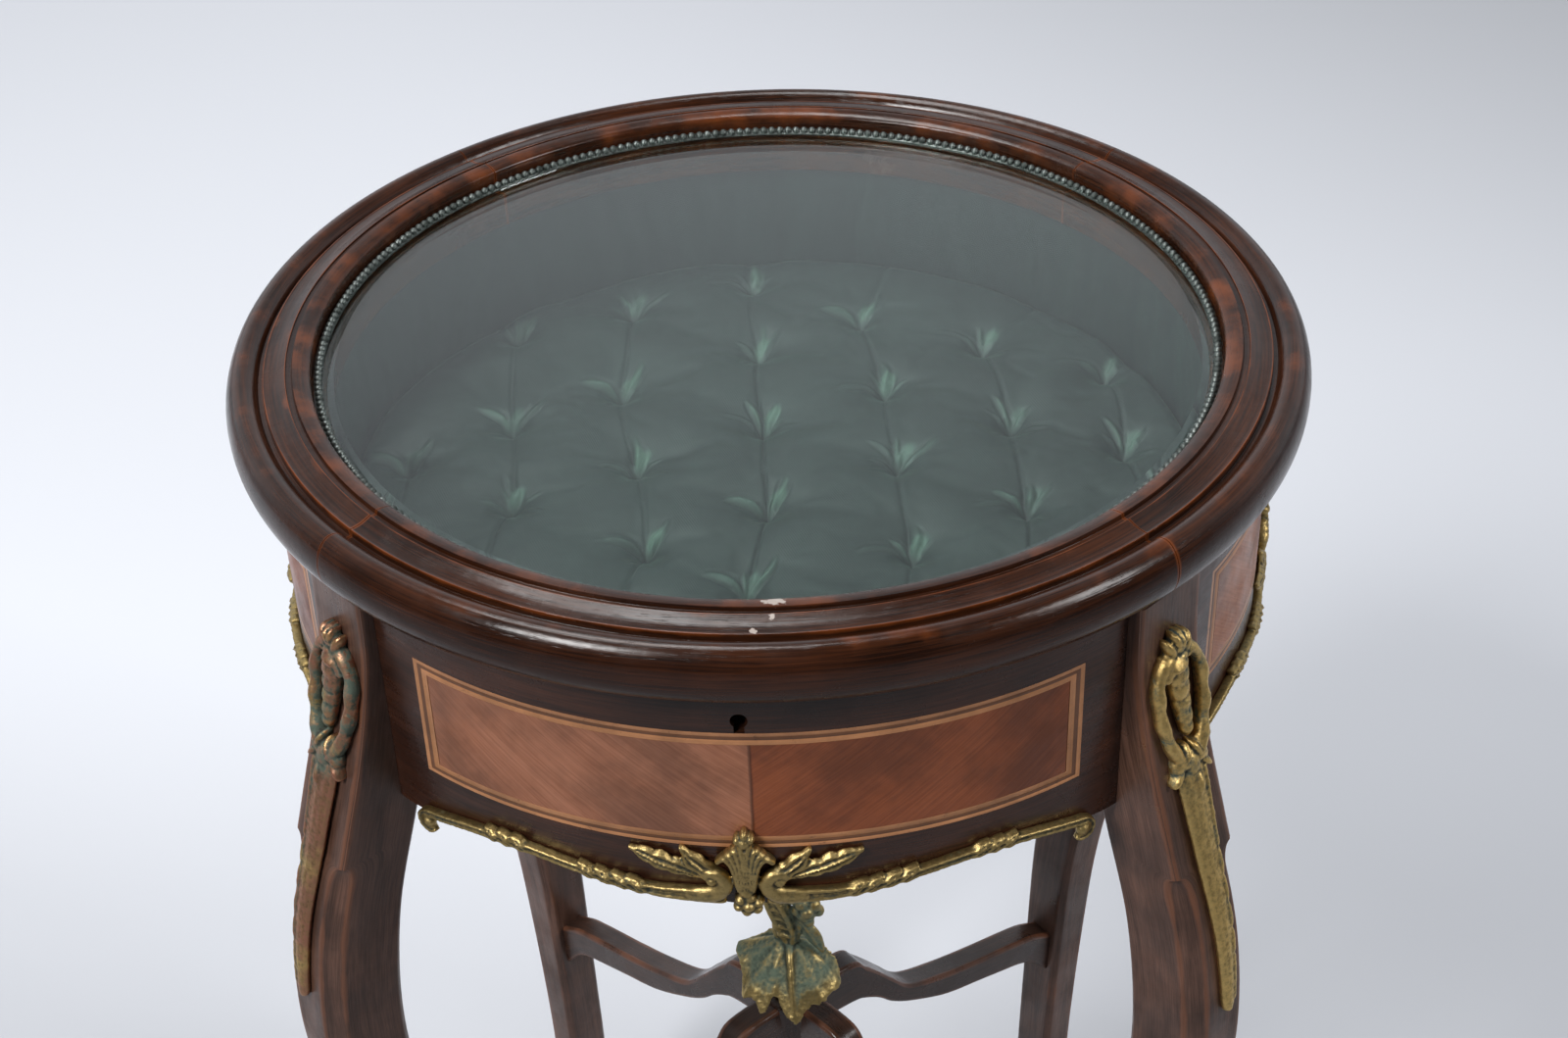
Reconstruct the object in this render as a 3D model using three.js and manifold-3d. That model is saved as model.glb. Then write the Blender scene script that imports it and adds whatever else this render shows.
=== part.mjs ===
// Round glazed display table on four curved legs, with a hinged lid and a buttoned lining.
// Millimetres. X is the width, Y runs from front to back, Z is up from the floor.
// Angles round the table start at the front and grow towards +X.

import * as THREE from 'three';
import { mergeVertices } from 'three/addons/utils/BufferGeometryUtils.js';
import Module from 'manifold-3d';

const wasm = await Module();
wasm.setup();

// Driving dimensions
const tableHeight = 760;
const lidRadius = 250;
const lidFrameWidth = 40;
const lidThickness = 33;
const lidOverhang = 17;
const apronHeight = 108.4;
const apronThickness = 18;
const legAngle = 47.5;
const fitGap = 0.3;
const cutOverrun = 4;

// Facets of everything turned about the table's axis, laid out alike so that round pieces nest
const turnFacets = 44;
const facetAngle = 360 / turnFacets;
const quarterAngle = 90;
const seamAngle = quarterAngle / 2;

// Lid frame
const lidGap = 0.6;
const ovoloWidth = 7.4;
const ovoloRise = 3;
const channelWidth = 3.4;
const channelDepth = 1.6;
const coveDepth = 1.8;
const coveFall = 2.2;
const grooveWidth = 3.3;
const grooveDepth = 3.4;
const noseWidth = 15.3;
const noseHalfWidth = 8.6;
const noseDrop = 1;
const noseLift = 1;
const seatStep = 4;
const seatStandOff = 1.2;
const ledgeWidth = 7;

// Glass and its pearl moulding
const glassThickness = 5;
const glassBevelWidth = 8.6;
const glassBevelDrop = 1.8;
const glassEdgeGap = 0.6;
const glassDepth = 12.3;
const pearlSize = 4;
const pearlGap = 0.9;

// Case
const caseFloorThickness = 6;
const floorLedgeHeight = 11;
const floorLedgeWidth = 7;
const apronArch = 8;
const apronArchDip = 1;
const apronArchSkew = 1.4;
const pendantWidth = 34;
const pendantDrop = 4.5;
const liningGap = 2.6;
const liningThickness = 3.4;
const liningTopGap = 2.5;

// Inlaid string border on each panel
const stringWidth = 6.2;
const stringDepth = 0.8;
const stringTopInset = 18.4;
const stringBottomInset = 28.2;
const stringSideInset = 18;

// Buttoned cushion
const cushionHeight = 41;
const cushionEdgeHeight = 38;
const cushionEdgeRound = 12;
const cushionDrawIn = 3;
const cushionGap = 2;
const tuftPitchX = 60;
const tuftPitchY = 70;
const tuftDepth = 15;
const tuftSpread = 13;
const foldDepth = 4;
const tuftStepsPerPitch = 4;
const tuftShiftX = -20;
const tuftShiftY = -15;

// Legs
const kneeReach = 33.5;
const ankleSetBack = 23;
const stileSide = 40;
const ankleSide = 28;
const footSide = 31;
const ankleHeight = 110;
const taperTopHeight = 560;
const chamferWidth = 8;
const chamferStopHeight = 562;
const chamferStopLength = 14;
const arrisWidth = 1.4;
const innerArrisWidth = 3.2;
const legSteps = 18;

// Height as a share of the leg, and radius as a share of the way from ankle to knee
const legBendShares = [
  [1, 0.16],
  [0.95, 0.19],
  [0.89, 0.36],
  [0.83, 0.6],
  [0.755, 0.89],
  [0.67, 1],
  [0.585, 0.885],
  [0.5, 0.57],
  [0.415, 0.27],
  [0.33, 0.14],
  [0.15, 0],
  [0.06, 0.07],
  [0, 0.21],
];

// Foot shoes
const shoeWall = 2.2;
const shoeSole = 3;
const shoeHeight = 46;
const shoePeak = 16;
const shoeSteps = 4;

// Raised work, as rows of places across and proud of the ground it lies on
const roundSectionShares = [[-1, 0], [-0.75, 0.66], [0, 1], [0.75, 0.66], [1, 0]];
const bluntSectionShares = [[-1, 0], [-0.52, 0.92], [0.52, 0.92], [1, 0]];
const ridgeSectionShares = [[-1, 0], [0, 1], [1, 0]];
const bossShares = [[-0.5, 0.5], [0, 1], [0.5, 0.5]];

// Corner mounts
const mountTopInset = 19;
const mountHeadHeight = 67;
const mountTailLength = 128;
const mountHalfWidth = 14.6;
const mountTailWidth = 21;
const mountTipWidth = 7;
const mountProud = 7;
const mountBase = 1.5;
const loopWidth = 6;
const loopProud = 6.4;
const lobeWidth = 13;
const lobeRibs = 4;
const lobeRibWidth = 1.6;
const knobSize = 11;
const collarHeight = 10;
const tailSteps = 6;

// Each side loop's rows: places across and down the head, and width, as shares of full size
const loopShares = [
  [0.2, 0.03, 0.8],
  [0.72, 0.1, 1.1],
  [0.96, 0.25, 0.85],
  [1, 0.4, 1.15],
  [0.88, 0.58, 0.8],
  [0.7, 0.77, 1.15],
  [0.3, 0.98, 1],
];

// Apron mounts
const rodWidth = 5.4;
const rodProud = 4;
const rodRise = 3;
const rodEndAngle = 4.4;
const scrollRadius = 4.6;
const scrollBallSize = 7;
const wrapWidth = 9.6;
const wrapProud = 5.6;
const fanHeight = 33;
const fanSpreadAngle = 31;
const fanFlutes = 5;
const fanFootShare = 0.24;
const fluteProud = 6.4;
const fluteValley = 3;
const sprigLength = 42;
const sprigWidth = 12;
const sprigProud = 3;
const berrySize = 8;
const mountLayer = 0.7;

// Along each rod: place, and how far it swells from bare rod to leaf wrap
const rodShares = [
  [0.02, 0.3],
  [0.1, 0],
  [0.19, 0],
  [0.27, 0],
  [0.3, 0.8],
  [0.34, 0.35],
  [0.38, 1],
  [0.42, 0.3],
  [0.47, 0.6],
  [0.6, 0],
  [0.67, 0.9],
  [0.71, 0.35],
  [0.75, 0.9],
  [0.81, 0],
  [0.9, 0],
  [1, 0],
];

// Widths along one sprig, and the fan's spread and height at rows up it
const sprigShares = [
  [0, 0.25],
  [0.2, 0.9],
  [0.34, 0.6],
  [0.5, 1],
  [0.64, 0.5],
  [0.78, 0.62],
  [1, 0.06],
];
const fanShares = [[0.12, 0.6, 0.7], [0.5, 0.55, 0.75], [0.82, 0.85, 1], [1, 1, 0.6]];

// Stretcher
const hubHeight = 317;
const hubDepth = 34;
const hubSide = 34;
const hubTaper = 0.86;
const armWidth = 16;
const armBevel = 2.6;
const armEndHeight = 231;
const armEndDepth = 31;
const armEndInset = 10;
const armSteps = 12;

// Arm from leg to hub: place out, then top and underside, as shares of the arm's reach and climb
const armShares = [
  [1.03, 0.24, -0.03],
  [1, 0.265, 0],
  [0.94, 0.316, 0.12],
  [0.88, 0.345, 0.175],
  [0.8, 0.376, 0.214],
  [0.71, 0.41, 0.256],
  [0.565, 0.475, 0.325],
  [0.425, 0.564, 0.444],
  [0.35, 0.7, 0.53],
  [0.3, 0.803, 0.615],
  [0.25, 0.897, 0.675],
  [0.2, 0.974, 0.709],
  [0.05, 0.99, 0.735],
];

// Leaf finial on the hub
const finialBaseRadius = 12;
const finialBaseHeight = 7;
const leafRise = 48;
const leafReach = 33;
const leafHalfWidth = 34;
const leafThickness = 3;
const leafTipDrop = 40;
const leafSideDrop = 18;
const leafForward = 7;
const leafRows = 2;
const stemHeight = 85;
const stemThickness = 8.6;
const stemSway = 9;
const budSize = 16;
const bractLength = 26;
const bractWidth = 9;
const stemSteps = 8;
const stemSides = 5;

// Leaf reach at even steps round it from tip to stem
const leafOutlineShares = [1, 0.7, 0.76, 1, 0.76, 0.92, 0.66, 0.5, 0.42];

// Hinges
const hingeSpacing = 76;
const hingeLength = 38;
const hingeLeafThickness = 1.3;
const hingeLeafDepth = 15;
const knuckleRadius = 3;
const knuckleStandOff = 0.6;
const pinRadius = 1.3;
const pinGap = 0.15;
const hingeFacets = 8;

// Lock
const lockWidth = 46;
const lockHeight = 34;
const lockThickness = 8.5;
const boltWidth = 11.2;
const boltThickness = 3.2;
const boltLength = 22;
const boltTravel = 6;
const boltGap = 0.4;
const boltPlay = 0.8;
const strikeWidth = 34;
const strikeThickness = 1.5;
const keyholeRadius = 3.6;
const keySlotWidth = 4.4;
const keySlotDrop = 6.2;
const keyholeDrop = 12;
const keyholeFacets = 16;

// Heights and radii worked out from the sizes above
const sightRadius = lidRadius - lidFrameWidth;
const apronRadius = lidRadius - lidOverhang;
const seatRadius = apronRadius + seatStandOff;
const coveWidth = lidFrameWidth - ovoloWidth - channelWidth - grooveWidth - noseWidth;
const noseHeight = lidThickness - noseDrop - seatStep - noseLift;
const kneeRadius = apronRadius + kneeReach;
const ankleRadius = apronRadius - ankleSetBack;
const armReach = ankleRadius - armEndInset;
const lidBottom = tableHeight - lidThickness;
const apronTop = lidBottom - lidGap;
const apronBottom = apronTop - apronHeight;
const apronInner = apronRadius - apronThickness;
const sightHeight = tableHeight - ovoloRise;
const glassSeat = sightHeight - glassDepth;
const glassTop = glassSeat + glassThickness;
const caseFloorBottom = apronBottom + floorLedgeHeight + fitGap;
const caseFloorTop = caseFloorBottom + caseFloorThickness;
const liningOuter = apronInner - liningGap;
const liningInner = liningOuter - liningThickness;
const cushionRadius = liningInner - cushionGap;
const leafHeight = hubHeight + leafRise;
const stemTopHeight = hubHeight + stemHeight;
const hingeAxisY = seatRadius + knuckleRadius + knuckleStandOff;
const hingeAxisZ = (apronTop + lidBottom) / 2;
const lockFaceY = -(apronInner - liningGap / 2);

const corners = [
  ['front_left', -legAngle],
  ['front_right', legAngle],
  ['rear_right', 180 - legAngle],
  ['rear_left', 180 + legAngle],
];
const sides = [
  ['front', 0],
  ['right', quarterAngle],
  ['back', 2 * quarterAngle],
  ['left', 3 * quarterAngle],
];

const walnut = new THREE.MeshStandardMaterial({ color: 0x2a1710, roughness: 0.32 });
const veneer = new THREE.MeshStandardMaterial({ color: 0x5e2c19, roughness: 0.38 });
const boxwood = new THREE.MeshStandardMaterial({ color: 0xb97a47, roughness: 0.45 });
const gilt = new THREE.MeshStandardMaterial({ color: 0x9a7a3c, roughness: 0.42, metalness: 1 });
const patina = new THREE.MeshStandardMaterial({ color: 0x5f7763, roughness: 0.6, metalness: 0.8 });
const pewter = new THREE.MeshStandardMaterial({ color: 0x8f9a93, roughness: 0.35, metalness: 1 });
const steel = new THREE.MeshStandardMaterial({ color: 0x6a6c6e, roughness: 0.4, metalness: 1 });
const glass = new THREE.MeshStandardMaterial({
  color: 0xa9bdb8, roughness: 0.05, transparent: true, opacity: 0.35,
});
const silk = new THREE.MeshStandardMaterial({ color: 0x27483c, roughness: 0.5 });
const board = new THREE.MeshStandardMaterial({ color: 0x6b4a30, roughness: 0.75 });

const radians = THREE.MathUtils.degToRad;
const { lerp, smoothstep } = THREE.MathUtils;

// Turns the faces outward, whichever way round they were listed.
function outward(geometry) {
  const at = geometry.getAttribute('position');
  const order = geometry.index.array;
  const [a, b, c] = [new THREE.Vector3(), new THREE.Vector3(), new THREE.Vector3()];
  let volume = 0;
  for (let i = 0; i < order.length; i += 3) {
    a.fromBufferAttribute(at, order[i]);
    b.fromBufferAttribute(at, order[i + 1]);
    c.fromBufferAttribute(at, order[i + 2]);
    volume += a.dot(b.cross(c));
  }
  if (volume < 0) {
    for (let i = 0; i < order.length; i += 3) {
      [order[i + 1], order[i + 2]] = [order[i + 2], order[i + 1]];
    }
  }
  return geometry;
}

// A closed skin over rings of points, with both ends filled by the triangles of a flat section.
function skin(rings, section) {
  const count = section.length;
  const points = rings.flat().flatMap((p) => [p.x, p.y, p.z]);
  const order = [];
  for (let i = 0; i < rings.length - 1; i++) {
    for (let j = 0; j < count; j++) {
      const next = (j + 1) % count;
      const low = i * count;
      const high = low + count;
      order.push(low + j, low + next, high + next, low + j, high + next, high + j);
    }
  }
  const last = (rings.length - 1) * count;
  for (const [a, b, c] of THREE.ShapeUtils.triangulateShape(section, [])) {
    const flip = THREE.ShapeUtils.isClockWise(section);
    order.push(a, flip ? b : c, flip ? c : b);
    order.push(last + a, last + (flip ? c : b), last + (flip ? b : c));
  }
  const geometry = new THREE.BufferGeometry();
  geometry.setAttribute('position', new THREE.Float32BufferAttribute(points, 3));
  geometry.setIndex(order);
  return outward(geometry);
}

// A geometry with its shared corners merged, as a solid that can be joined and cut.
function solid(geometry) {
  const bare = geometry.index ? geometry.clone() : geometry;
  bare.deleteAttribute('normal');
  bare.deleteAttribute('uv');
  const merged = outward(mergeVertices(bare, fitGap / 1000));
  return new wasm.Manifold(new wasm.Mesh({
    numProp: 3,
    vertProperties: new Float32Array(merged.getAttribute('position').array),
    triVerts: new Uint32Array(merged.index.array),
  }));
}

function geometryOf(body) {
  const { vertProperties, triVerts } = body.getMesh();
  const geometry = new THREE.BufferGeometry();
  geometry.setAttribute('position', new THREE.Float32BufferAttribute(vertProperties, 3));
  geometry.setIndex([...triVerts]);
  return geometry;
}

function join(...geometries) {
  return geometries.map(solid).reduce((whole, next) => whole.add(next));
}

// A named mesh in a group, from a geometry or a cut solid.
function place(group, name, shape, material) {
  const geometry = shape.isBufferGeometry ? shape : geometryOf(shape);
  const mesh = new THREE.Mesh(geometry, material);
  mesh.name = name;
  group.add(mesh);
  return mesh;
}

function aroundTable(angle) {
  const group = new THREE.Group();
  group.rotation.z = radians(angle);
  return group;
}

function polar(radius, angle, height) {
  const turn = radians(angle);
  return new THREE.Vector3(radius * Math.sin(turn), -radius * Math.cos(turn), height);
}

// A length of moulding bent round the table's axis.
function sector(profile, fromAngle, toAngle) {
  const steps = Math.round((toAngle - fromAngle) / facetAngle);
  const rings = [];
  for (let i = 0; i <= steps; i++) {
    const angle = lerp(fromAngle, toAngle, i / steps);
    rings.push(profile.map((p) => polar(p.x, angle, p.y)));
  }
  return skin(rings, profile);
}

// A full turn of a profile that starts and ends on the axis, or closes on itself.
function turned(profile) {
  return new THREE.LatheGeometry(profile, turnFacets, radians(-seamAngle)).rotateX(Math.PI / 2);
}

function rectangle(inner, outer, low, high) {
  return [
    new THREE.Vector2(inner, low),
    new THREE.Vector2(outer, low),
    new THREE.Vector2(outer, high),
    new THREE.Vector2(inner, high),
  ];
}

function closedLoop(profile) {
  return [...profile, profile[0].clone()];
}

function block(lowX, highX, lowY, highY, lowZ, highZ) {
  const geometry = new THREE.BoxGeometry(highX - lowX, highY - lowY, highZ - lowZ);
  return geometry.translate((lowX + highX) / 2, (lowY + highY) / 2, (lowZ + highZ) / 2);
}

function arc(centreX, centreY, halfWidth, halfHeight, fromAngle, toAngle, steps) {
  return Array.from({ length: steps + 1 }, (_, i) => {
    const angle = radians(lerp(fromAngle, toAngle, i / steps));
    return new THREE.Vector2(
      centreX + halfWidth * Math.cos(angle),
      centreY + halfHeight * Math.sin(angle),
    );
  });
}

// A rod of round section along a curve.
function rod(points, thickness, steps, facets) {
  const round = new THREE.Shape(arc(0, 0, thickness / 2, thickness / 2, 0, 360, facets).slice(1));
  const path = new THREE.CatmullRomCurve3(points);
  return new THREE.ExtrudeGeometry(round, { steps, extrudePath: path, bevelEnabled: false });
}

// A swollen form of given width, depth and height, laid down by a tilt in its own plane.
function swelling(centre, width, depth, height, tilt = 0, around = 6, rows = 4) {
  return new THREE.SphereGeometry(1, around, rows)
    .rotateX(Math.PI / 2)
    .scale(width / 2, depth / 2, height / 2)
    .rotateY(radians(tilt))
    .translate(centre.x, centre.y, centre.z);
}

// Leg centre line, kept as the straight runs that the leg is made of.
const legTop = apronTop - fitGap;
const legLine = new THREE.SplineCurve(
  legBendShares.map(([heightShare, bendShare]) => new THREE.Vector2(
    lerp(ankleRadius, kneeRadius, bendShare),
    heightShare * legTop,
  )),
).getPoints(legSteps);

function legRadius(height) {
  const above = legLine.findLastIndex((p) => p.y >= height);
  const upper = legLine[Math.max(above, 0)];
  const lower = legLine[Math.min(Math.max(above, 0) + 1, legLine.length - 1)];
  const share = upper.y === lower.y ? 0 : (height - lower.y) / (upper.y - lower.y);
  return lerp(lower.x, upper.x, Math.min(Math.max(share, 0), 1));
}

function legSide(height) {
  const rise = smoothstep(height, ankleHeight, taperTopHeight);
  const flare = 1 - smoothstep(height, 0, ankleHeight);
  return lerp(ankleSide, stileSide, rise) + (footSide - ankleSide) * flare;
}

function legFace(height) {
  return legRadius(height) + legSide(height) / 2;
}

// Square section with canted outer corners, lying flat at one height.
function legSection(height, growth) {
  const half = legSide(height) / 2 + growth;
  const cant = lerp(
    chamferWidth, arrisWidth,
    smoothstep(height, chamferStopHeight - chamferStopLength, chamferStopHeight),
  );
  const outline = [
    [half, -half + innerArrisWidth], [half, half - cant], [half - cant, half], [cant - half, half],
    [-half, half - cant], [-half, innerArrisWidth - half], [innerArrisWidth - half, -half],
    [half - innerArrisWidth, -half],
  ];
  return outline.map(([x, out]) => new THREE.Vector3(x, -(legRadius(height) + out), height));
}

// The leg's curved body, in a frame whose -Y points out of the table.
function legBody(growth, low, high) {
  const stops = [chamferStopHeight, chamferStopHeight - chamferStopLength];
  const inside = [...legLine.map((p) => p.y), ...stops].filter((z) => z > low && z < high);
  const heights = [high, ...inside.sort((a, b) => b - a), low];
  const rings = heights.map((height) => legSection(height, growth));
  return skin(rings, rings[0].map((p) => new THREE.Vector2(p.x, p.y)));
}

function lidProfile() {
  const ovoloOuter = sightRadius + ovoloWidth;
  const coveInner = ovoloOuter + channelWidth;
  const coveOuter = coveInner + coveWidth;
  const noseInner = coveOuter + grooveWidth;
  const noseCentre = lidRadius - noseHalfWidth;
  const noseMiddle = tableHeight - noseDrop - noseHeight / 2;
  const noseStart = 180 - THREE.MathUtils.radToDeg(Math.acos((noseCentre - noseInner) / noseHalfWidth));
  const coveTop = tableHeight - channelDepth / 2;
  return [
    new THREE.Vector2(sightRadius - ledgeWidth, lidBottom),
    new THREE.Vector2(seatRadius, lidBottom),
    new THREE.Vector2(seatRadius, lidBottom + seatStep),
    ...arc(noseCentre, noseMiddle, noseHalfWidth, noseHeight / 2, -quarterAngle, noseStart, 6),
    new THREE.Vector2(noseInner - grooveWidth / 3, coveTop - coveFall - grooveDepth),
    new THREE.Vector2(coveOuter, coveTop - coveFall - grooveDepth),
    new THREE.Vector2(coveOuter, coveTop - coveFall),
    new THREE.Vector2((coveInner + coveOuter) / 2, coveTop - coveDepth),
    new THREE.Vector2(coveInner, coveTop),
    new THREE.Vector2(coveInner, tableHeight - channelDepth),
    new THREE.Vector2(ovoloOuter, tableHeight - channelDepth),
    ...arc(ovoloOuter, sightHeight, ovoloWidth, ovoloRise, quarterAngle, 2 * quarterAngle, 2),
    new THREE.Vector2(sightRadius, glassSeat),
    new THREE.Vector2(sightRadius - ledgeWidth, glassSeat),
  ];
}

// One leaf of a hinge: a plate, and knuckles that take turns along the pin.
function hingeLeaf(centreX, plateLow, plateHigh, knuckleShares) {
  const plateEdge = hingeAxisY - knuckleRadius - knuckleStandOff / 2;
  const half = hingeLength / 2;
  const pieces = [
    block(
      centreX - half, centreX + half, plateEdge - hingeLeafDepth, plateEdge, plateLow, plateHigh,
    ),
  ];
  for (const [from, to] of knuckleShares) {
    const low = centreX - half + hingeLength * from + pinGap;
    const high = centreX - half + hingeLength * to - pinGap;
    pieces.push(block(low, high, plateEdge - hingeLeafThickness, hingeAxisY, plateLow, plateHigh));
    pieces.push(barrel(knuckleRadius, low, high));
  }
  return join(...pieces).subtract(
    solid(barrel(pinRadius + pinGap, centreX - half - cutOverrun, centreX + half + cutOverrun)),
  );
}

// A round bar along X on the hinge line.
function barrel(radius, lowX, highX) {
  return new THREE.CylinderGeometry(radius, radius, highX - lowX, hingeFacets)
    .rotateZ(Math.PI / 2)
    .translate((lowX + highX) / 2, hingeAxisY, hingeAxisZ);
}

function hingeMortice(centreX, plateLow, plateHigh) {
  const edge = hingeAxisY - knuckleRadius;
  const reach = hingeLength / 2 + fitGap;
  const depth = edge - hingeLeafDepth - knuckleStandOff - fitGap;
  return solid(block(centreX - reach, centreX + reach, depth, lidRadius, plateLow, plateHigh));
}

const hingeCentres = [['left', -hingeSpacing / 2], ['right', hingeSpacing / 2]];
const caseLeafTop = apronTop - fitGap / 3;
const lidLeafBottom = lidBottom + fitGap / 3;

function makeHinges(caseGroup, lidGroup) {
  for (const [side, centreX] of hingeCentres) {
    const caseLeaf = hingeLeaf(
      centreX, caseLeafTop - hingeLeafThickness, caseLeafTop, [[0, 1 / 3], [2 / 3, 1]],
    );
    const lidLeaf = hingeLeaf(
      centreX, lidLeafBottom, lidLeafBottom + hingeLeafThickness, [[1 / 3, 2 / 3]],
    );
    const half = hingeLength / 2;
    place(caseGroup, `hinge_${side}_case_leaf`, caseLeaf, gilt);
    place(caseGroup, `hinge_${side}_pin`, barrel(pinRadius, centreX - half, centreX + half), gilt);
    place(lidGroup, `hinge_${side}_lid_leaf`, lidLeaf, gilt);
  }
}

function makeLid() {
  const lid = new THREE.Group();
  const profile = lidProfile();
  for (const [side, angle] of sides) {
    let rim = solid(sector(profile, angle - seamAngle + fitGap / 3, angle + seamAngle - fitGap / 3));
    if (side === 'back') {
      for (const [, centreX] of hingeCentres) {
        const high = lidLeafBottom + hingeLeafThickness + fitGap;
        rim = rim.subtract(hingeMortice(centreX, lidBottom - cutOverrun, high));
      }
    }
    if (side === 'front') {
      rim = rim.subtract(solid(strikeBlock(fitGap, lidBottom - cutOverrun)));
      rim = rim.subtract(boltHole(lidBottom, boltTravel + 2 * boltGap));
    }
    place(lid, `lid_frame_${side}`, rim, walnut);
  }
  makeGlazing(lid);
  const strike = solid(strikeBlock(0, lidBottom));
  place(lid, 'lock_strike', strike.subtract(boltHole(lidBottom - cutOverrun, lidThickness)), gilt);
  return lid;
}

function makeGlazing(lid) {
  const edge = sightRadius - glassEdgeGap;
  const seat = glassSeat + fitGap;
  const pane = [
    new THREE.Vector2(0, seat),
    new THREE.Vector2(edge, seat),
    new THREE.Vector2(edge, glassTop - glassBevelDrop),
    new THREE.Vector2(edge - glassBevelWidth, glassTop),
    new THREE.Vector2(0, glassTop),
  ];
  place(lid, 'lid_glass', turned(pane), glass);
  const pearls = arc(
    sightRadius - pearlGap - pearlSize / 2, glassTop + fitGap, pearlSize / 2, pearlSize, 0, 180, 2,
  );
  place(lid, 'pearl_moulding', turned(closedLoop(pearls)), pewter);
}

function strikeBlock(growth, bottom) {
  const reach = strikeWidth / 2 + growth;
  return block(
    -reach, reach, lockFaceY - lockThickness - growth, lockFaceY + growth,
    bottom, lidBottom + strikeThickness + growth,
  );
}

function boltHole(low, depth) {
  const reachX = boltWidth / 2 + boltPlay;
  const middle = lockFaceY - lockThickness / 2;
  const reachY = boltThickness / 2 + boltPlay;
  return solid(block(-reachX, reachX, middle - reachY, middle + reachY, low, low + depth));
}

function keyhole(length) {
  const centre = apronTop - keyholeDrop;
  const round = new THREE.CylinderGeometry(keyholeRadius, keyholeRadius, length, keyholeFacets)
    .translate(0, lockFaceY - lockThickness - length / 2 + cutOverrun / 2, centre);
  const half = keySlotWidth / 2;
  const back = lockFaceY - lockThickness + cutOverrun / 2;
  return join(round, block(-half, half, back - length, back, centre - keySlotDrop, centre));
}

function makeLock(table) {
  const low = apronTop - lockHeight;
  const box = block(
    -lockWidth / 2, lockWidth / 2, lockFaceY - lockThickness, lockFaceY, low, apronTop - fitGap,
  );
  const reachX = boltWidth / 2 + boltPlay;
  const reachY = boltThickness / 2 + boltPlay;
  const middle = lockFaceY - lockThickness / 2;
  const boltTop = apronTop - fitGap;
  const boltBottom = boltTop - boltLength;
  const slot = block(
    -reachX, reachX, middle - reachY, middle + reachY, boltBottom - boltGap, apronTop + cutOverrun,
  );
  place(table, 'lock_case', solid(box).subtract(solid(slot)).subtract(keyhole(apronThickness)), gilt);
  const bolt = new THREE.Group();
  place(bolt, 'lock_bolt', block(
    -boltWidth / 2, boltWidth / 2, middle - boltThickness / 2, middle + boltThickness / 2,
    boltBottom, boltTop,
  ), steel);
  return bolt;
}

// Straight-sided frame, seen square on from the panel's side of the table.
function borderPrism(halfWidth, growth) {
  const low = apronBottom + stringBottomInset;
  const high = apronTop - stringTopInset;
  const outer = block(
    -halfWidth - growth, halfWidth + growth, -lidRadius, 0, low - growth, high + growth,
  );
  const width = stringWidth + growth;
  const upright = stringWidth * Math.cos(Math.asin(halfWidth / apronRadius)) + growth;
  const inner = block(
    upright - halfWidth, halfWidth - upright, -lidRadius - cutOverrun, cutOverrun,
    low + width, high - width,
  );
  return solid(outer).subtract(solid(inner));
}

function apronShell(inner, outer, from, to) {
  return solid(sector(rectangle(inner, outer, apronBottom, apronTop), from, to));
}

// Half the angle between a panel's two legs, less half a leg.
function panelHalfAngle(angle) {
  const clear = angle % (2 * quarterAngle) === 0 ? legAngle : quarterAngle - legAngle;
  return clear - THREE.MathUtils.radToDeg(Math.asin(stileSide / 2 / apronRadius));
}

// Rise of an apron's lower edge, at a share of the way from its middle to its end.
function edgeRise(share) {
  const arch = Math.sin(Math.PI * Math.min(share, 1) ** apronArchSkew) ** 2;
  return (apronArch + apronArchDip) * arch - apronArchDip;
}

function apronBody(halfAngle, reach) {
  const ledgeTop = apronBottom + floorLedgeHeight;
  const profile = [
    new THREE.Vector2(apronRadius, apronBottom),
    new THREE.Vector2(apronRadius, apronTop),
    new THREE.Vector2(apronInner, apronTop),
    new THREE.Vector2(apronInner, ledgeTop),
    new THREE.Vector2(apronInner - floorLedgeWidth, ledgeTop),
    new THREE.Vector2(apronInner - floorLedgeWidth, apronBottom),
  ];
  const steps = Math.round(2 * reach / facetAngle);
  const under = Array.from({ length: steps + 1 }, (_, i) => {
    const angle = lerp(-reach, reach, i / steps);
    const high = apronBottom + edgeRise(Math.abs(angle) / halfAngle);
    const section = rectangle(
      apronInner - floorLedgeWidth - cutOverrun, apronRadius + cutOverrun,
      apronBottom - cutOverrun, high,
    );
    return section.map((p) => polar(p.x, angle, p.y));
  });
  const half = pendantWidth / 2;
  const drop = new THREE.Shape([
    new THREE.Vector2(-half, ledgeTop),
    new THREE.Vector2(-half, apronBottom),
    ...arc(0, apronBottom, half, pendantDrop, 180, 360, 6).slice(1, -1),
    new THREE.Vector2(half, apronBottom),
    new THREE.Vector2(half, ledgeTop),
  ]);
  const pendant = new THREE.ExtrudeGeometry(drop, { depth: apronThickness / 2, bevelEnabled: false })
    .rotateX(Math.PI / 2)
    .translate(0, -apronInner - apronThickness / 4, 0);
  const archCut = skin(under, rectangle(0, 1, 0, 1));
  return solid(sector(profile, -reach, reach)).subtract(solid(archCut)).add(solid(pendant));
}

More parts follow.
